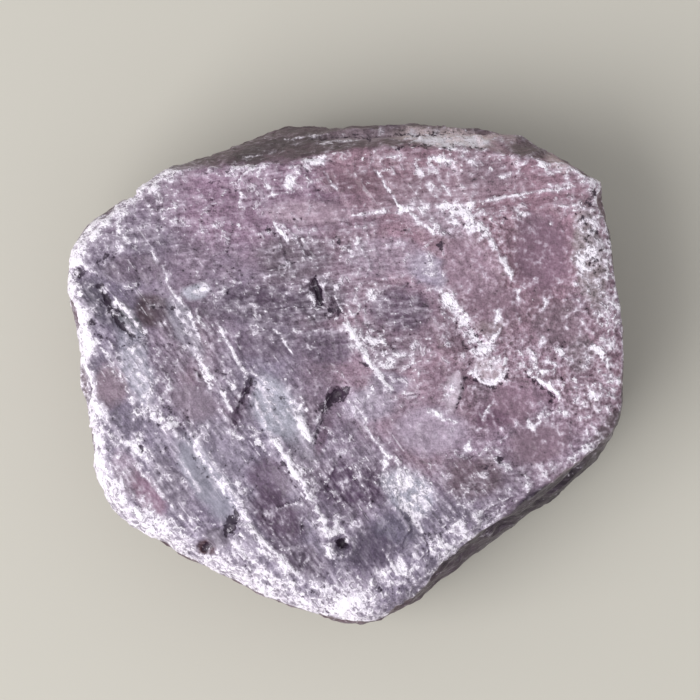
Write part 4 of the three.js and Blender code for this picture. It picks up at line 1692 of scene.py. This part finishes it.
@dataclass(frozen=True)
class Weathering:
    """Where the stone is mauve, pink, grey, dark, smooth or dusted with white.

    Attributes:
        pink: Colour of the top face at the back right.
        grey: Colour of the top face at the front left.
        under: Colour of the underside.
        colour_areas: Areas of the top face with their own colour, among them painted sheen, highlight and
            shade.
        sides: The crust and the walls, side by side.
        marks: The scratches, crests, cracks, pits and powdery patches.
        plates: The sets of plates with a tone of their own.
        plate_tones: How far each set's plates differ in colour.
        plate_powders: How far each set's plates differ in powder.
        fleck_base: Amount of flecks on a plain stretch.
        fleck_streak: Amount of flecks in a streak.
        calmed: How much of the flecks, and of their plates and streaks, smooth places lack.
        near_worn: Powder for each millimetre that an edge stands out, and the most that counts.
        wide_worn: The same for broad crests.
        near_sunk: Painted shade for each millimetre that a gap is sunk, and the most that counts.
        wide_sunk: The same for broad hollows.
        edge_shifts: Shifts that give marks and stains ragged edges, along the width and the depth.
        pink_drift: Drift between grey and pink.
        tone: Lighter and darker clouds of the face.
        wall_tone: Lighter and darker clouds of the walls.
        crust_width: Unevenness of the crust's width.
        crust_clumps: Unevenness of its amount.
        patchy: Lumps that break up the powder of the marks.
        fleck_clouds: Denser and barer clouds of flecks.
        fleck_streaks: Streaks of flecks along the falling direction.
        dirt_clouds: Denser and barer clouds of dirt.
    """

    pink: Colour = (143, 112, 127)
    grey: Colour = (122, 111, 131)
    under: Colour = (140, 124, 136)
    colour_areas: tuple[ColourArea, ...] = COLOUR_AREAS
    sides: tuple[Side, ...] = SIDES
    marks: tuple[Mark, ...] = MARKS
    plates: tuple[Plates, ...] = (Plates(5.2, 44), Plates(2.3, 45))
    plate_tones: Point = (0.08, 0.1)
    plate_powders: Point = (0.05, 0.07)
    fleck_base: float = 0.215
    fleck_streak: float = 0.12
    calmed: Point = (0.8, 0.6)
    near_worn: Point = (1.8, 0.12)
    wide_worn: Point = (1.2, 0.25)
    near_sunk: Point = (1.8, 0.15)
    wide_sunk: Point = (1.1, 0.25)
    edge_shifts: tuple[Lumps, Lumps] = (Lumps(91, 1.5, 0.34, 4, 0.65), Lumps(92, 1.5, 0.34, 4, 0.65))
    pink_drift: Lumps = Lumps(93, 9.0, 0.25)
    tone: Lumps = Lumps(94, 4.0, 0.16, 4, 0.65)
    wall_tone: Lumps = Lumps(96, 4.0, 0.3, 4, 0.6)
    crust_width: Lumps = Lumps(97, 2.4, 0.4)
    crust_clumps: Lumps = Lumps(103, 1.4, 0.35, 2)
    patchy: Lumps = Lumps(100, 0.9, 1.0, 3, 0.6)
    fleck_clouds: Lumps = Lumps(98, 6.5, 1.0, 4, 0.65)
    fleck_streaks: tuple[Streaks, ...] = (
        Streaks(101, CrystalDirection.FALLING.value, 9.0, 1.1),
        Streaks(102, CrystalDirection.FALLING.value, 5.0, 0.5, 0.7),
    )
    dirt_clouds: Lumps = Lumps(99, 5.0, 0.14, 4, 0.65)

    def ragged_places(self, points: Array) -> tuple[Array, Array]:
        """Returns places along the width and the depth, shifted so that marks get ragged edges."""
        x, y = (place + shift.at(points) for place, shift in zip(points.T, self.edge_shifts))
        return x, y

    def streaky(self, x: Array, y: Array) -> Array:
        """Gives the top face's habit.

        Args:
            x, y: Places along the width and the depth.

        Returns:
            1 on the streaked left of the face, 0 on plain stretches, -1 on its mottled right.
        """
        falling = smooth(0.5 - (0.6 * x + y + 2.0) / 16.0)
        mottled = smooth((x - 7.0) / 9.0) * smooth((20.5 - y) / 4.0) * smooth((y + 0.5 * x + 4.0) / 8.0)
        return falling * (1.0 - mottled) - mottled

    def calm(self, x: Array, y: Array) -> Array:
        """Returns how smooth the top face is at places, 0 to 1."""
        return np.max([spot.calm * smooth(1.6 - spot.area.far(x, y)) for spot in self.colour_areas], axis=0)

    def mark_lift(self, x: Array, y: Array) -> Array:
        """Returns the marks' height over the top face."""
        return sum(mark.lift * mark.shape.mark(x, y) for mark in self.marks)

    def side_measure(self, name: str, surface: Surface) -> Array:
        """Returns one of the sides' measures over the surface, by its name in Side."""
        return around(self.sides, name, surface.azimuth(), eased=False)

    def colour(self, surface: Surface) -> Array:
        """Gives the stone's colour, with its painted sheen, highlight and shade, without powder and dirt.

        Args:
            surface: The stone's finished points.

        Returns:
            Linear colours in rows of three.
        """
        x, y, z = surface.points.T
        drift = 0.4 + (0.55 * x + 0.8 * y) / 50.0 + self.pink_drift.at(surface.points)
        face = over(np.tile(linear(self.grey), (len(x), 1)), linear(self.pink), smooth(drift))
        tone = 1.0 + self.tone.at(surface.points)[:, None]
        face = face * tone
        for plates, contrast in zip(self.plates, self.plate_tones):
            face *= 1.0 + contrast * plates.own(*surface.ragged, 0)[:, None]
        # The wall colours include painted shade on the lower right.
        side = linear(self.side_measure("wall", surface)) * (1.0 + self.wall_tone.at(surface.points)[:, None])
        side = over(side, linear(self.under) * tone, smooth(1.0 - z / 1.5) * 0.6)
        own = over(side, face, surface.top * (1.0 - surface.on_bevel()))
        facing_up = np.clip(1.7 * surface.top, 0.0, 1.0)
        # Colour areas: real stains, and painted sheen, highlight and shade.
        for spot in self.colour_areas:
            amount = facing_up * spot.area.strength * smooth(2.2 - 1.7 * spot.area.far(*surface.ragged))
            own = over(own, linear(spot.colour) * tone, amount)
        return own

    def crust(self, surface: Surface) -> Array:
        """Gives the amount of the white crust along the rim.

        Args:
            surface: The stone's finished points.

        Returns:
            Amounts of 0 to about 1.
        """
        width = self.side_measure("width", surface) * (1.0 + self.crust_width.at(surface.points))
        into = surface.form.to_rim(*surface.ragged)
        amount = self.side_measure("amount", surface) * smooth(1.25 - into / width)
        return amount * (1.0 + self.crust_clumps.at(surface.points))

    def marked(self, surface: Surface) -> Array:
        """Gives the amount of the marks' powder.

        Args:
            surface: The stone's finished points.

        Returns:
            Amounts of 0 to 1.
        """
        patchy = self.patchy.at(surface.points)
        bare = np.ones(len(surface.points))
        for mark in self.marks:
            bare *= 1.0 - mark.powder_amount(surface.points, surface.ragged, patchy)
        return 1.0 - bare

    def flecks(self, surface: Surface, calm: Array, clouds: Array) -> Array:
        """Gives the amount of flecks on the top face.

        Args:
            surface: The stone's finished points.
            calm: How smooth the face is.
            clouds: Denser and barer clouds.

        Returns:
            Amounts of 0 to about 1.
        """
        of_flecks, of_pattern = (1.0 - share * calm for share in self.calmed)
        flecks = self.fleck_base * of_flecks * (1.0 + 0.5 * clouds)
        for plates, contrast in zip(self.plates, self.plate_powders):
            flecks += contrast * of_pattern * plates.own(*surface.ragged, 1)
        streaked = 0.25 + 0.75 * np.clip(self.streaky(*surface.points.T[:2]), 0.0, 1.0)
        streaks = sum(streak.at(*surface.ragged) for streak in self.fleck_streaks)
        return flecks + self.fleck_streak * streaks * of_pattern * streaked

    def worn(self, surface: Surface) -> Array:
        """Gives the amount of powder on worn edges, less along the rim of sides whose wear is set low; on the
        sides away from the lamp this paints shade.

        Args:
            surface: The stone's finished points.

        Returns:
            Amounts of 0 to about 0.5.
        """
        near, wide = surface.edges
        worn = up_to(near, self.near_worn) + up_to(wide, self.wide_worn)
        from_crest = -surface.form.past_crest(*surface.points.T[:2])
        into = np.minimum(surface.form.to_rim(*surface.ragged), from_crest)
        near_rim = np.maximum(1.0 - surface.top, smooth(1.5 - into / 1.5))
        return worn * over(1.0, self.side_measure("wear", surface), near_rim)

    def powder(self, surface: Surface) -> Array:
        """Gives the amount of white powder.

        Args:
            surface: The stone's finished points.

        Returns:
            Amounts of 0 to about 1.
        """
        calm = self.calm(*surface.ragged)
        clouds = self.fleck_clouds.at(surface.points)
        crust, marked, worn = self.crust(surface), self.marked(surface), self.worn(surface)
        face = self.flecks(surface, calm, clouds) + crust + marked + worn * (1.0 - 0.5 * calm)
        side = 0.06 + 0.1 * clouds + 0.8 * worn + 0.35 * crust + marked * np.clip(2.0 * surface.top, 0.0, 1.0)
        face = over(face, 0.04 + side, surface.on_bevel())
        return np.clip(over(side, face, surface.top), 0.0, 1.1)

    def dirt_and_shade(self, surface: Surface) -> Array:
        """Gives the amount of dark dirt, and of painted shade in sunk places and along shaded risers.

        Args:
            surface: The stone's finished points.

        Returns:
            Amounts of 0 to about 1.
        """
        marked = np.clip(sum(mark.dirt_and_shade * mark.shape.mark(*surface.ragged) for mark in self.marks), 0.0, 1.2)
        near, wide = surface.edges
        # Painted shade: places sunk under their surroundings are darkened.
        sunk = up_to(-near, self.near_sunk) + up_to(-wide, self.wide_sunk)
        mottled = np.minimum(self.streaky(*surface.points.T[:2]), 0.0)
        clouds = 0.12 + self.dirt_clouds.at(surface.points) + 0.05 * mottled
        return np.clip(clouds + sunk + surface.top * marked, 0.0, 1.1)


# ---- Finish ------------


class Attribute(Enum):
    """The measures that the mesh carries at its points for the finish."""

    COLOUR = "stone_colour"
    POWDER = "powder"
    DIRT_AND_SHADE = "dirt_and_shade"
    CALM = "calm"
    STREAKED = "streaked"


class Recipe:
    """Adds a material's shader nodes and joins them."""

    def __init__(self, name: str) -> None:
        """Starts an empty material.

        Args:
            name: The material's name.
        """
        self.material = bpy.data.materials.new(name)
        self.material.use_nodes = True
        self.tree = self.material.node_tree
        self.tree.nodes.clear()

    def add(self, kind: str, inputs: dict, **settings: object) -> bpy.types.Node:
        """Adds a node.

        Args:
            kind: The node's type.
            inputs: Values or other nodes' outputs for its inputs, by name or number.
            settings: Its own settings.

        Returns:
            The node.
        """
        node = self.tree.nodes.new(kind)
        for name, value in settings.items():
            setattr(node, name, value)
        for key, value in inputs.items():
            if isinstance(value, Socket):
                self.tree.links.new(value, node.inputs[key])
            else:
                node.inputs[key].default_value = value
        return node

    def maths(self, operation: str, *values: Value) -> Socket:
        """Returns the outcome of a calculation, by Blender's name for it."""
        return self.add("ShaderNodeMath", dict(enumerate(values)), operation=operation).outputs[0]

    def product(self, a: Value, b: Value) -> Socket:
        """Returns a times b."""
        return self.maths("MULTIPLY", a, b)

    def mixed(self, *shares: tuple[Socket, float], plus: float = 0.0) -> Socket:
        """Adds values up.

        Args:
            shares: The values, each with its own factor.
            plus: A number added to them.

        Returns:
            The sum.
        """
        total = plus
        for value, factor in shares:
            total = self.maths("MULTIPLY_ADD", value, factor, total)
        return total

    def step(self, value: Value, low: float, high: float) -> Socket:
        """Returns 0 to 1 as a value goes from low to high, eased."""
        inputs = {"Value": value, "From Min": low, "From Max": high}
        return self.add("ShaderNodeMapRange", inputs, interpolation_type="SMOOTHSTEP").outputs[0]

    def blend_values(self, below: Value, above: Value, amount: Value) -> Socket:
        """Returns one value laid over another."""
        return self.add("ShaderNodeMix", {0: amount, 2: below, 3: above}, data_type="FLOAT").outputs[0]

    def blend(self, below: Socket, above: Colour, amount: Value) -> Socket:
        """Returns a colour of 0 to 255 laid over another."""
        inputs = {0: amount, 6: below, 7: (*linear(above), 1.0)}
        return self.add("ShaderNodeMix", inputs, data_type="RGBA", clamp_factor=True).outputs[2]

    def along(self, azimuth: float, stretch: float) -> Socket:
        """Gives places in millimetres, shrunk along an azimuth so that noise stretches that way.

        Args:
            azimuth: The direction, in degrees.
            stretch: How many times longer than wide the noise's lumps get.

        Returns:
            The places.
        """
        place = self.add("ShaderNodeTexCoord", {}).outputs["Object"]
        turn = (0.0, 0.0, -math.radians(azimuth))
        turned_place = self.add("ShaderNodeMapping", {"Vector": place, "Rotation": turn}).outputs[0]
        scale = (1.0 / (MM * stretch), 1.0 / MM, 1.0 / MM)
        return self.add("ShaderNodeMapping", {"Vector": turned_place, "Scale": scale}).outputs[0]

    def noise(self, place: Socket, scale: float, detail: float, roughness: float) -> Socket:
        """Makes noise with a mean of 0 and a spread of about 1.

        Args:
            place: Where to read it, in millimetres.
            scale: Lumps for each millimetre.
            detail: Number of finer sizes.
            roughness: Strength of the finer sizes.

        Returns:
            The noise.
        """
        inputs = {"Vector": place, "Scale": scale, "Detail": detail, "Roughness": roughness}
        return self.mixed((self.add("ShaderNodeTexNoise", inputs).outputs[0], 8.0), plus=-4.0)

    def shaded(self, **inputs: object) -> bpy.types.Material:
        """Ends the material in a surface shader.

        Args:
            inputs: The shader's inputs, with spaces written as underscores.

        Returns:
            The material.
        """
        named = {name.replace("_", " "): value for name, value in inputs.items()}
        surface = self.add("ShaderNodeBsdfPrincipled", named).outputs[0]
        self.add("ShaderNodeOutputMaterial", {"Surface": surface})
        return self.material


class StoneSurface(Recipe):
    """The stone's surface patterns, mixed from noises and from the measures that the mesh carries."""

    def __init__(self, name: str) -> None:
        """Starts the material with the measures and noises that all patterns are mixed from.

        Args:
            name: The material's name.
        """
        super().__init__(name)
        self.amount = self.measure(Attribute.POWDER)
        self.streaked = self.measure(Attribute.STREAKED)
        self.rugged = self.mixed((self.measure(Attribute.CALM), -0.6), plus=1.0)
        self.falling = CrystalDirection.FALLING.value
        level = CrystalDirection.LEVEL.value
        even = self.along(0.0, 1.0)
        self.clumps = self.noise(even, 1.1, 2.0, 0.55)
        self.grains = self.noise(even, 2.2, 1.0, 0.5)
        self.fine = self.noise(even, 5.6, 1.0, 0.6)
        self.curls = self.noise(self.along(self.falling, 1.6), 1.3, 1.0, 0.5)
        self.lay = self.by_habit(
            level=self.noise(self.along(level, 9.0), 2.0, 3.0, 0.6),
            falling=self.noise(self.along(self.falling, 8.0), 2.2, 2.0, 0.5),
            mottled=self.mixed((self.clumps, 0.6), (self.grains, 0.4)),
        )
        self.short = self.by_habit(
            level=self.noise(self.along(level, 2.4), 2.3, 1.0, 0.5),
            falling=self.noise(self.along(self.falling, 2.4), 2.3, 1.0, 0.5),
            mottled=self.clumps,
        )

    def measure(self, attribute: Attribute, output: str = "Fac") -> Socket:
        """Returns one of the mesh's measures."""
        return self.add("ShaderNodeAttribute", {}, attribute_name=attribute.value).outputs[output]

    def by_habit(self, level: Socket, falling: Socket, mottled: Socket) -> Socket:
        """Returns one noise on plain stretches, one on streaked ones and one on mottled ones."""
        streaky = self.blend_values(level, falling, self.streaked)
        return self.blend_values(streaky, mottled, self.mixed((self.streaked, -1.0)))

    def haze_and_sheen(self) -> Socket:
        """Makes the thin powder, whose cool lilac-grey also paints the silvery sheen.

        Returns:
            A share of 0 to 1.
        """
        veil = self.mixed(
            (self.clumps, 0.5), (self.lay, 0.5), (self.short, 0.3), (self.amount, 5.0), plus=-2.4
        )
        dust = self.mixed(
            (self.short, 0.5), (self.fine, 0.5), (self.clumps, 0.6), (self.amount, 3.0), plus=-1.9
        )
        dust = self.product(self.step(dust, 0.15, 0.5), self.rugged)
        return self.mixed((self.step(veil, -1.8, 1.9), 0.6), (dust, 0.27))

    def flecks(self) -> Socket:
        """Makes the small flecks.

        Returns:
            A share of 0 to 1.
        """
        busy = self.mixed(
            (self.short, 0.65), (self.grains, 0.45), (self.fine, 0.3), (self.amount, 3.6), plus=-2.1
        )
        return self.product(self.step(busy, 0.25, 0.75), self.rugged)

    def flakes(self) -> tuple[Socket, Socket]:
        """Makes the marks of flaked places.

        Returns:
            The short white arcs, and the painted shadows beside them, as shares of 0 to 1.
        """
        flaky = self.step(self.mixed((self.clumps, 0.8), (self.amount, 3.6), plus=-1.6), -0.2, 0.5)
        flaky = self.product(flaky, self.rugged)
        arcs = self.step(self.maths("ABSOLUTE", self.curls), 0.5, 0.15)
        # Painted shadow: a dark band beside each white arc, as under a lifted flake.
        flake_shadows = self.step(self.maths("ABSOLUTE", self.maths("ADD", self.curls, -0.7)), 0.42, 0.1)
        return self.product(arcs, flaky), self.product(flake_shadows, flaky)

    def crumbs(self, spacing: float) -> Socket:
        """Makes single crumbs of different sizes.

        Args:
            spacing: About how far they are apart, in millimetres.

        Returns:
            A share of 0 to 1.
        """
        place = self.along(self.falling, 1.5)
        cells = self.add("ShaderNodeTexVoronoi", {"Vector": place, "Scale": 1.0 / spacing})
        clustered = self.mixed((self.amount, 1.0), (self.clumps, 0.08))
        size = self.mixed((clustered, 1.4), (cells.outputs["Color"], 1.4), (self.fine, 0.1), plus=-1.3)
        return self.step(self.mixed((cells.outputs["Distance"], -2.0), (size, 1.0)), 0.0, 0.16)

    def crust(self) -> Socket:
        """Returns the closed white crust."""
        crust = self.mixed((self.amount, 1.0), (self.clumps, 0.13), (self.grains, 0.12), (self.fine, 0.1))
        return self.step(crust, 0.64, 0.96)

    def scratches(self) -> Socket:
        """Makes hair-thin scratches along the falling direction.

        Returns:
            A share of 0 to 1.
        """
        lines = self.noise(self.along(self.falling, 24.0), 4.0, 0.0, 0.4)
        scratches = self.step(self.mixed((lines, 1.0), (self.clumps, 0.5)), 2.4, 2.8)
        return self.product(scratches, self.product(self.rugged, self.mixed((self.streaked, 0.6), plus=0.4)))

    def dark(self, flake_shadows: Socket) -> Socket:
        """Makes the dirt and the painted shade.

        Args:
            flake_shadows: The painted shadows beside the flakes' white arcs.

        Returns:
            A share of 0 to 1.
        """
        dark = self.mixed(
            (self.grains, -0.5),
            (self.fine, -0.25),
            (self.short, -0.4),
            (self.measure(Attribute.DIRT_AND_SHADE), 4.0),
            plus=-2.3,
        )
        return self.maths("MAXIMUM", self.product(self.step(dark, -0.4, 0.8), 0.85), self.product(flake_shadows, 0.45))

    def stone_colour(self) -> Socket:
        """Makes the bare stone's colour, lighter and darker from grain to grain.

        Returns:
            The colour.
        """
        tint = self.mixed(
            (self.fine, 0.16),
            (self.lay, 0.08),
            (self.short, 0.09),
            (self.curls, 0.04),
            (self.grains, 0.06),
            (self.clumps, 0.06),
        )
        tint = self.maths("ADD", self.product(tint, self.rugged), 1.0)
        inputs = {0: self.measure(Attribute.COLOUR, "Color"), "Scale": tint}
        return self.add("ShaderNodeVectorMath", inputs, operation="SCALE").outputs[0]

    def bump(self, *raised: tuple[Socket, float]) -> Socket:
        """Makes the finest relief.

        Args:
            raised: Patterns on the grain, each with its height in millimetres.

        Returns:
            The surface's normal.
        """
        grain = self.mixed((self.fine, 0.004), (self.grains, 0.007), (self.clumps, 0.012), (self.lay, 0.012))
        height = self.mixed((self.product(grain, self.rugged), 1.0), *raised)
        return self.add("ShaderNodeBump", {"Height": height, "Strength": 1.0, "Distance": MM}).outputs[0]


@dataclass(frozen=True)
class RubyFinish:
    """Waxy mauve corundum under fine white powder, scratches and dark grains.

    Attributes:
        powder_colour: Colour of the powder's crumbs.
        haze_and_sheen_colour: Colour of its thin veils, a cool lilac-grey that also paints the silvery sheen.
        dirt_and_shade_colour: Colour in the pits and cracks, and of the painted shade in hollows, on shaded
            risers and beside flakes.
        crumb_spacings: How far the small and the large crumbs are apart, in millimetres.
        roughness: Roughness of the bare stone.
        powder_roughness: What the powder adds to it.
        refraction: The stone's index of refraction.
        shine: Level of its reflections.
    """

    powder_colour: Colour = (250, 243, 253)
    haze_and_sheen_colour: Colour = (231, 220, 236)
    dirt_and_shade_colour: Colour = (40, 22, 44)
    crumb_spacings: Point = (0.65, 1.6)
    roughness: float = 0.42
    powder_roughness: float = 0.32
    refraction: float = 1.76
    shine: float = 0.22

    def material(self) -> bpy.types.Material:
        """Lays thin powder with painted sheen, dirt with painted shade, and thick powder over the bare stone.

        Returns:
            The stone's material.
        """
        surface = StoneSurface("rough_ruby_stone")
        flecks = surface.flecks()
        arcs, flake_shadows = surface.flakes()
        small, large = (surface.crumbs(spacing) for spacing in self.crumb_spacings)
        crumbs = surface.maths("MAXIMUM", surface.product(small, 0.75), large)
        white = surface.mixed((flecks, 0.62), (arcs, 0.38), (crumbs, 0.85), (surface.scratches(), 0.5))
        white = surface.maths("MAXIMUM", white, surface.product(surface.crust(), 0.88))
        dark = surface.dark(flake_shadows)
        # Thin powder and painted sheen share the lilac-grey haze.
        colour = surface.blend(surface.stone_colour(), self.haze_and_sheen_colour, surface.haze_and_sheen())
        # Dirt and painted shade darken the colour together.
        colour = surface.blend(colour, self.dirt_and_shade_colour, dark)
        return surface.shaded(
            Base_Color=surface.blend(colour, self.powder_colour, white),
            Roughness=surface.mixed((white, self.powder_roughness), plus=self.roughness),
            Normal=surface.bump((flecks, 0.03), (arcs, 0.03), (crumbs, 0.04), (dark, -0.06)),
            IOR=self.refraction,
            Specular_IOR_Level=self.shine,
        )


@dataclass(frozen=True)
class FloorFinish:
    """Plain pale matt board."""

    colour: Colour = (200, 196, 186)
    roughness: float = 0.9

    def material(self) -> bpy.types.Material:
        """Returns the floor's material."""
        return Recipe("plain_floor").shaded(Base_Color=(*linear(self.colour), 1.0), Roughness=self.roughness)


# ---- The pieces ------------


@dataclass
class RoughRuby:
    """The stone.

    Attributes:
        form: Its shape.
        relief: Its finer relief.
        weathering: Its colours and marks.
        finish: Its material.
    """

    form: StoneForm = StoneForm()
    relief: BreakRelief = BreakRelief()
    weathering: Weathering = Weathering()
    finish: RubyFinish = RubyFinish()
    piece: bpy.types.Object = field(init=False)

    def build(self) -> bpy.types.Object:
        """Makes the stone in place of its plain solid.

        Returns:
            The stone.
        """
        stone = StoneMesh(self.form)
        stone.points = self.relief.chipped(stone.points, self.form)
        top = stone.top_amount()
        x, y, _ = stone.points.T
        calm = self.weathering.calm(*self.weathering.ragged_places(stone.points))
        over_face = self.relief.on_top(x, y, calm) + self.weathering.mark_lift(x, y)
        lift = over(self.relief.on_walls(stone.points), over_face, top) * stone.off_foot()
        stone.points = stone.points + stone.averaged(stone.normals(), 4) * lift[:, None]
        stone.ease_folds(rounds=12, least_cosine=0.55)
        stone.points[:, 2] = np.maximum(stone.points[:, 2], 0.0)
        edges = stone.standing_out(2), stone.standing_out(16)
        ragged = self.weathering.ragged_places(stone.points)
        surface = Surface(self.form, stone.points, ragged, top, edges)
        self.piece = stone.as_object("rough_ruby_stone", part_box(SOLID))
        self.write(Attribute.COLOUR, self.weathering.colour(surface))
        self.write(Attribute.POWDER, self.weathering.powder(surface))
        self.write(Attribute.DIRT_AND_SHADE, self.weathering.dirt_and_shade(surface))
        self.write(Attribute.CALM, calm * top)
        self.write(Attribute.STREAKED, self.weathering.streaky(x, y) * top)
        return self.piece

    def write(self, attribute: Attribute, values: Array) -> None:
        """Writes a measure to the mesh's points.

        Args:
            attribute: The measure.
            values: Its values, or colours in rows of three.
        """
        kind, name = "FLOAT", "value"
        if values.ndim > 1:
            kind, name = "FLOAT_COLOR", "color"
            values = np.column_stack([values, np.ones(len(values))])
        data = self.piece.data.attributes.new(attribute.value, kind, "POINT").data
        data.foreach_set(name, values.astype(np.float32).ravel())

    def dress(self) -> None:
        """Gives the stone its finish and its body."""
        self.piece.data.materials.append(self.finish.material())
        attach(self.piece, "root")
        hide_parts(SOLID)


@dataclass
class Studio:
    """The floor, the light and the camera, in metres.

    Attributes:
        floor_side: Side of the floor.
        world_light: Strength of the pale light from all around.
        world_colour: Its colour.
        key_from: Direction towards the soft lamp.
        key_distance: The lamp's distance.
        key_side: The lamp's side.
        key_power: The lamp's power, in watts.
        eye_height: The camera's height over the floor.
        eye_at: The camera's place over the floor.
        lens: Focal length, in millimetres.
        nearest: Distance from the camera at which its view starts.
    """

    floor_side: float = 3.0
    world_light: float = 0.56
    world_colour: Colour = (252, 253, 255)
    key_from: tuple[float, float, float] = (-0.62, -0.36, 0.72)
    key_distance: float = 0.9
    key_side: float = 0.8
    key_power: float = 7.8
    eye_height: float = 0.4
    eye_at: Point = (0.000425, 0.002955)
    lens: float = 170.8
    nearest: float = 0.01

    def build(self) -> None:
        """Makes the floor, the light and the camera."""
        bpy.context.scene.view_settings.view_transform = "Standard"
        self.lay_floor()
        self.light_room()
        self.hang_lamp()
        self.set_camera()

    def lay_floor(self) -> None:
        """Makes the plain floor."""
        half = self.floor_side / 2.0
        corners = [(-half, -half, 0), (half, -half, 0), (half, half, 0), (-half, half, 0)]
        mesh = bpy.data.meshes.new("floor")
        mesh.from_pydata(corners, [], [(0, 1, 2, 3)])
        floor = bpy.data.objects.new("floor", mesh)
        floor.data.materials.append(FloorFinish().material())
        bpy.context.scene.collection.objects.link(floor)

    def light_room(self) -> None:
        """Makes the pale light from all around."""
        world = bpy.data.worlds.new("pale_room")
        world.use_nodes = True
        background = world.node_tree.nodes["Background"]
        background.inputs["Color"].default_value = (*linear(self.world_colour), 1.0)
        background.inputs["Strength"].default_value = self.world_light
        bpy.context.scene.world = world

    def hang_lamp(self) -> None:
        """Makes the soft lamp, facing the stone."""
        lamp = bpy.data.lights.new("soft_lamp", "AREA")
        lamp.size = self.key_side
        lamp.energy = self.key_power
        holder = bpy.data.objects.new("soft_lamp", lamp)
        towards = np.array(self.key_from) / np.linalg.norm(self.key_from)
        holder.location = towards * self.key_distance
        holder.rotation_euler = holder.location.to_track_quat("Z", "Y").to_euler()
        bpy.context.scene.collection.objects.link(holder)

    def set_camera(self) -> None:
        """Makes the camera, looking straight down."""
        eye = bpy.data.cameras.new("camera")
        eye.lens = self.lens
        eye.clip_start = self.nearest
        camera = bpy.data.objects.new("camera", eye)
        camera.location = (*self.eye_at, self.eye_height)
        bpy.context.scene.collection.objects.link(camera)
        bpy.context.scene.camera = camera


def main() -> None:
    """Builds the stone and the studio."""
    logging.basicConfig(level=logging.INFO, format="%(name)s: %(message)s")
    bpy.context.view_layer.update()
    stone = RoughRuby()
    piece = stone.build()
    stone.dress()
    log.info("stone: %d points, %d faces", len(piece.data.vertices), len(piece.data.polygons))
    Studio().build()
    log.info("studio: floor, lamp and camera")


if __name__ == "__main__":
    main()
